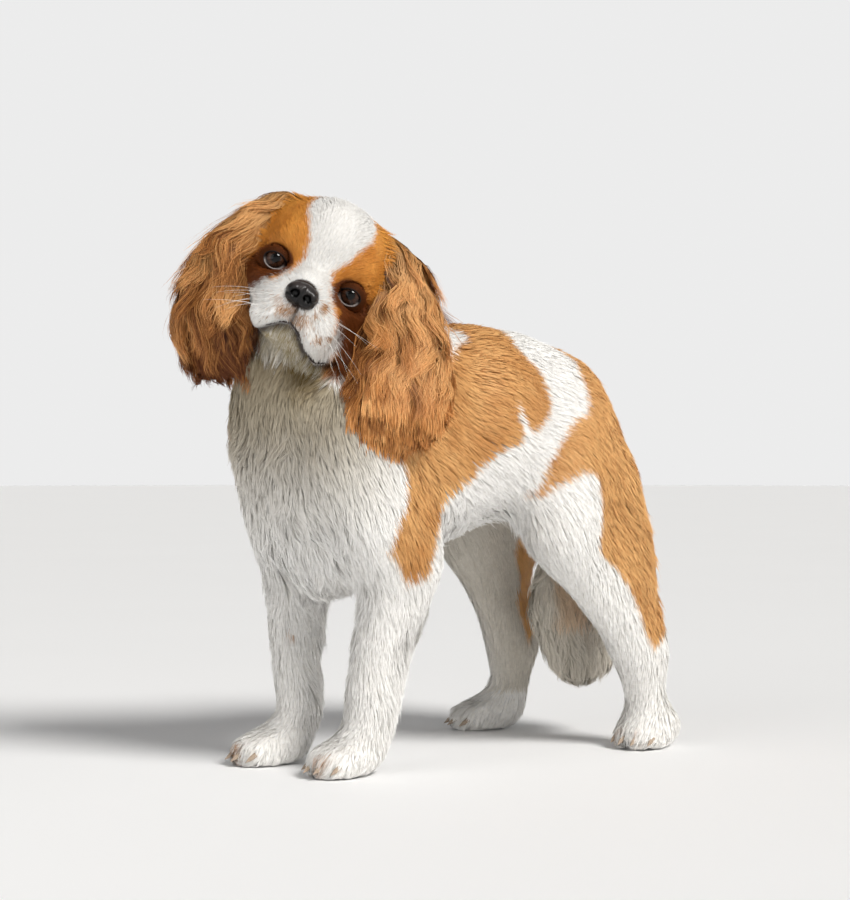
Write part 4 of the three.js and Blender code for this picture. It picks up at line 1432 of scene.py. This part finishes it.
class SPANIEL_OT_nose(bpy.types.Operator):
    """The nose leather, with nostrils and a pebbled skin"""

    bl_idname = "spaniel.nose"
    bl_label = "Nose"

    def execute(self, context):
        mesh = remeshed(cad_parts["nose"].data.copy(), 0.0006)
        mesh.materials.clear()
        points, triangles = mesh_arrays(mesh)
        points = softened(to_dog(points), edges_of(mesh), 8)
        q = NOSE + (in_head(points) - NOSE) * [0.88, 0.95, 0.84]
        side, up = np.abs(q[:, 0]), q[:, 2]
        front = smooth_step(72, 78, q[:, 1])
        hole = bell(np.hypot((side - 4.8) / 2.7, (up + 30.3) / 2.9)) * front
        slot = bell(np.hypot((side - 8.6) / 3.4, (up + 31.6 - 0.25 * (side - 8.6)) / 1.3)) * front
        groove = bell(side / 0.8) * front * smooth_step(-22, -26, up)
        wing = bell(np.hypot((side - 8.2) / 3, (up + 27.5) / 3.2)) * front
        pebble = noise(q, 0.9, 21) * 0.14 + noise(q, 2.2, 22) * 0.1
        push = pebble + 0.9 * wing - 0.9 * groove - 3.0 * hole - 1.6 * slot
        points = head_point(q)
        place_vertices(mesh, points + normals_of(points, triangles) * push[:, None])
        mesh.shade_smooth()
        # Painted shade darkens the nostrils and the groove between them.
        hollow_shade = np.clip(hole * 1.3 + slot + 0.5 * groove, 0, 1)
        # Painted light: the top of the nose is lighter, with a mottle.
        light = (1 + 0.5 * noise(q, 4, 23)) * (1 + 6 * smooth_step(-31, -21, up))
        set_colours(mesh, np.outer(light * (1 - 0.95 * hollow_shade), [0.0045, 0.0036, 0.0034]))
        leather = coat_material("nose_skin", 0.42, 900, 0.1, 0.18)
        shader = leather.node_tree.nodes["Principled BSDF"]
        shader.inputs["Coat Weight"].default_value = 0.25
        shader.inputs["Coat Roughness"].default_value = 0.16
        new_object("nose_leather", mesh, leather, ["nose"])
        return {"FINISHED"}


class SPANIEL_OT_claws(bpy.types.Operator):
    """The claws, kept from the frame, with a horn finish"""

    bl_idname = "spaniel.claws"
    bl_label = "Claws"

    def execute(self, context):
        horn = plain_material("claw_horn", (0.4, 0.31, 0.23), 0.5, 500, 0.35, 0.2)
        found = [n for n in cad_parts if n.startswith("claw")]
        if not found:
            raise RuntimeError("the frame has no claws")
        for name in found:
            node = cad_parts[name]
            if not node.material_slots:
                node.data.materials.append(horn)
            for place in node.material_slots:
                place.material = horn
        return {"FINISHED"}


class SPANIEL_OT_whiskers(bpy.types.Operator):
    """Fine pale whiskers on both sides of the muzzle"""

    bl_idname = "spaniel.whiskers"
    bl_label = "Whiskers"

    def execute(self, context):
        rng = np.random.default_rng(31)
        hull = WORK["hull"]
        t = np.linspace(0, 1, 9)[:, None]
        thin = 0.11 * (1 - t) + 0.03
        turn = circle(5)[:, None]
        strands, corners = [], []
        for s in (1, -1):
            for i in range(context.scene.spaniel_face.whiskers):
                row, place = divmod(i, 3)
                start = head_point([s * (17 + 3 * row), 70 - 5 * place, -38 - 5 * row])
                out = hull.slope(start[None])[0]
                start = start - out * (hull.distance(start[None])[0] + 0.5)
                way = [s * 0.85, 0.15 - 0.3 * place, -0.25 - 0.15 * row] @ HEAD + out * 0.5
                way = unit(way + rng.normal(0, 0.27, 3))
                long = rng.uniform(22, 38)
                sag = np.array([0, 0, -1]) * rng.uniform(3, 8)
                path = start + way * long * t + sag * t**2
                across = unit(np.cross(way, [0, 0, 1.0]))
                ring = np.cos(turn) * across + np.sin(turn) * np.cross(across, way)
                corners.append(ring_corners(len(t), len(turn)) + len(strands) * len(t) * len(turn))
                strands.append((path[:, None] + ring * thin[:, None]).reshape(-1, 3))
        corners = np.concatenate(corners)
        sizes = np.full(len(corners) // 4, 4)
        mesh = new_mesh("whiskers", to_scene(np.concatenate(strands)), corners, sizes)
        hair = plain_material("whisker", (0.75, 0.72, 0.68), 0.4, 300, 0.1)
        new_object("whiskers", mesh, hair)
        return {"FINISHED"}


def studio_sky(strength):
    """Light from all round, bright along the horizon and softer above."""
    world = bpy.data.worlds.new("studio")
    world.use_nodes = True
    tree = world.node_tree
    back = tree.nodes["Background"]
    place = tree.nodes.new("ShaderNodeTexCoord")
    parts = tree.nodes.new("ShaderNodeSeparateXYZ")
    fall = add_node(tree, "ShaderNodeMapRange", From_Min=0.22, From_Max=0.45)
    fall.inputs["To Min"].default_value = 0.84
    fall.inputs["To Max"].default_value = 0.14
    tree.links.new(place.outputs["Generated"], parts.inputs["Vector"])
    tree.links.new(parts.outputs["Z"], fall.inputs["Value"])
    tree.links.new(fall.outputs["Result"], back.inputs["Color"])
    back.inputs["Strength"].default_value = strength
    return world


class SPANIEL_OT_stage(bpy.types.Operator):
    """A pale floor, soft studio light and the camera"""

    bl_idname = "spaniel.stage"
    bl_label = "Stage"

    def execute(self, context):
        scene = context.scene
        look = scene.spaniel_stage
        bpy.ops.mesh.primitive_circle_add(vertices=96, radius=12, fill_type="NGON")
        floor = context.object
        floor.name = "floor"
        paint = plain_material("floor_paint", (0.93, 0.93, 0.93), 0.7, 3, 0.01)
        floor.data.materials.append(paint)
        turn = math.radians(50)
        right = Vector((math.cos(turn), math.sin(turn), 0))
        ahead = Vector((-math.sin(turn), math.cos(turn), 0))
        data = bpy.data.cameras.new("camera")
        data.lens = look.lens
        data.sensor_width = 36
        data.sensor_fit = "AUTO"
        camera = bpy.data.objects.new("camera", data)
        camera.location = to_scene([1188.77, -1016.43, 226.0])
        camera.rotation_euler = (math.radians(90), 0, turn)
        scene.collection.objects.link(camera)
        scene.camera = camera
        key = bpy.data.lights.new("key", "SUN")
        key.energy = look.key_power
        key.angle = math.radians(22)
        key.color = (1, 0.985, 0.96)
        fill = bpy.data.lights.new("fill", "AREA")
        fill.energy = look.fill_power
        fill.size = 1.4
        key_place = right * 0.6 - ahead * 0.6 + Vector((0, 0, 0.82))
        fill_place = right * -1.2 - ahead * 1.4 + Vector((0, 0, 0.9))
        for lamp, place in ((key, key_place), (fill, fill_place)):
            holder = bpy.data.objects.new(lamp.name, lamp)
            holder.location = Vector((0, 0, 0.22)) + place
            holder.rotation_euler = (-place).to_track_quat("-Z", "Y").to_euler()
            scene.collection.objects.link(holder)
        scene.world = studio_sky(look.sky)
        scene.view_settings.view_transform = "Standard"
        return {"FINISHED"}


class SPANIEL_PT_panel(bpy.types.Panel):
    """The pieces of the spaniel, in the order they are made"""

    bl_label = "Spaniel"
    bl_idname = "SPANIEL_PT_panel"
    bl_space_type = "VIEW_3D"
    bl_region_type = "UI"
    bl_category = "Spaniel"

    def draw(self, context):
        layout = self.layout
        for group in SETTINGS:
            settings = getattr(context.scene, group)
            for name in settings.bl_rna.properties.keys():
                if name not in ("name", "rna_type"):
                    layout.prop(settings, name)
        for operator in OPERATORS:
            layout.operator(operator.bl_idname)


SETTINGS = {
    "spaniel_coat": CoatSettings,
    "spaniel_face": FaceSettings,
    "spaniel_stage": StageSettings,
}
OPERATORS = (
    SPANIEL_OT_skin,
    SPANIEL_OT_coat,
    SPANIEL_OT_eyes,
    SPANIEL_OT_lids,
    SPANIEL_OT_lips,
    SPANIEL_OT_nose,
    SPANIEL_OT_claws,
    SPANIEL_OT_whiskers,
    SPANIEL_OT_stage,
)


def register():
    for name, group in SETTINGS.items():
        bpy.utils.register_class(group)
        setattr(bpy.types.Scene, name, PointerProperty(type=group))
    for each in (*OPERATORS, SPANIEL_PT_panel):
        bpy.utils.register_class(each)


def unregister():
    for each in (SPANIEL_PT_panel, *reversed(OPERATORS)):
        bpy.utils.unregister_class(each)
    for name, group in SETTINGS.items():
        delattr(bpy.types.Scene, name)
        bpy.utils.unregister_class(group)


def main():
    register()
    bpy.ops.spaniel.skin()
    bpy.ops.spaniel.coat()
    bpy.ops.spaniel.eyes()
    bpy.ops.spaniel.lids()
    bpy.ops.spaniel.lips()
    bpy.ops.spaniel.nose()
    bpy.ops.spaniel.claws()
    bpy.ops.spaniel.whiskers()
    bpy.ops.spaniel.stage()
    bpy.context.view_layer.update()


if __name__ == "__main__":
    main()
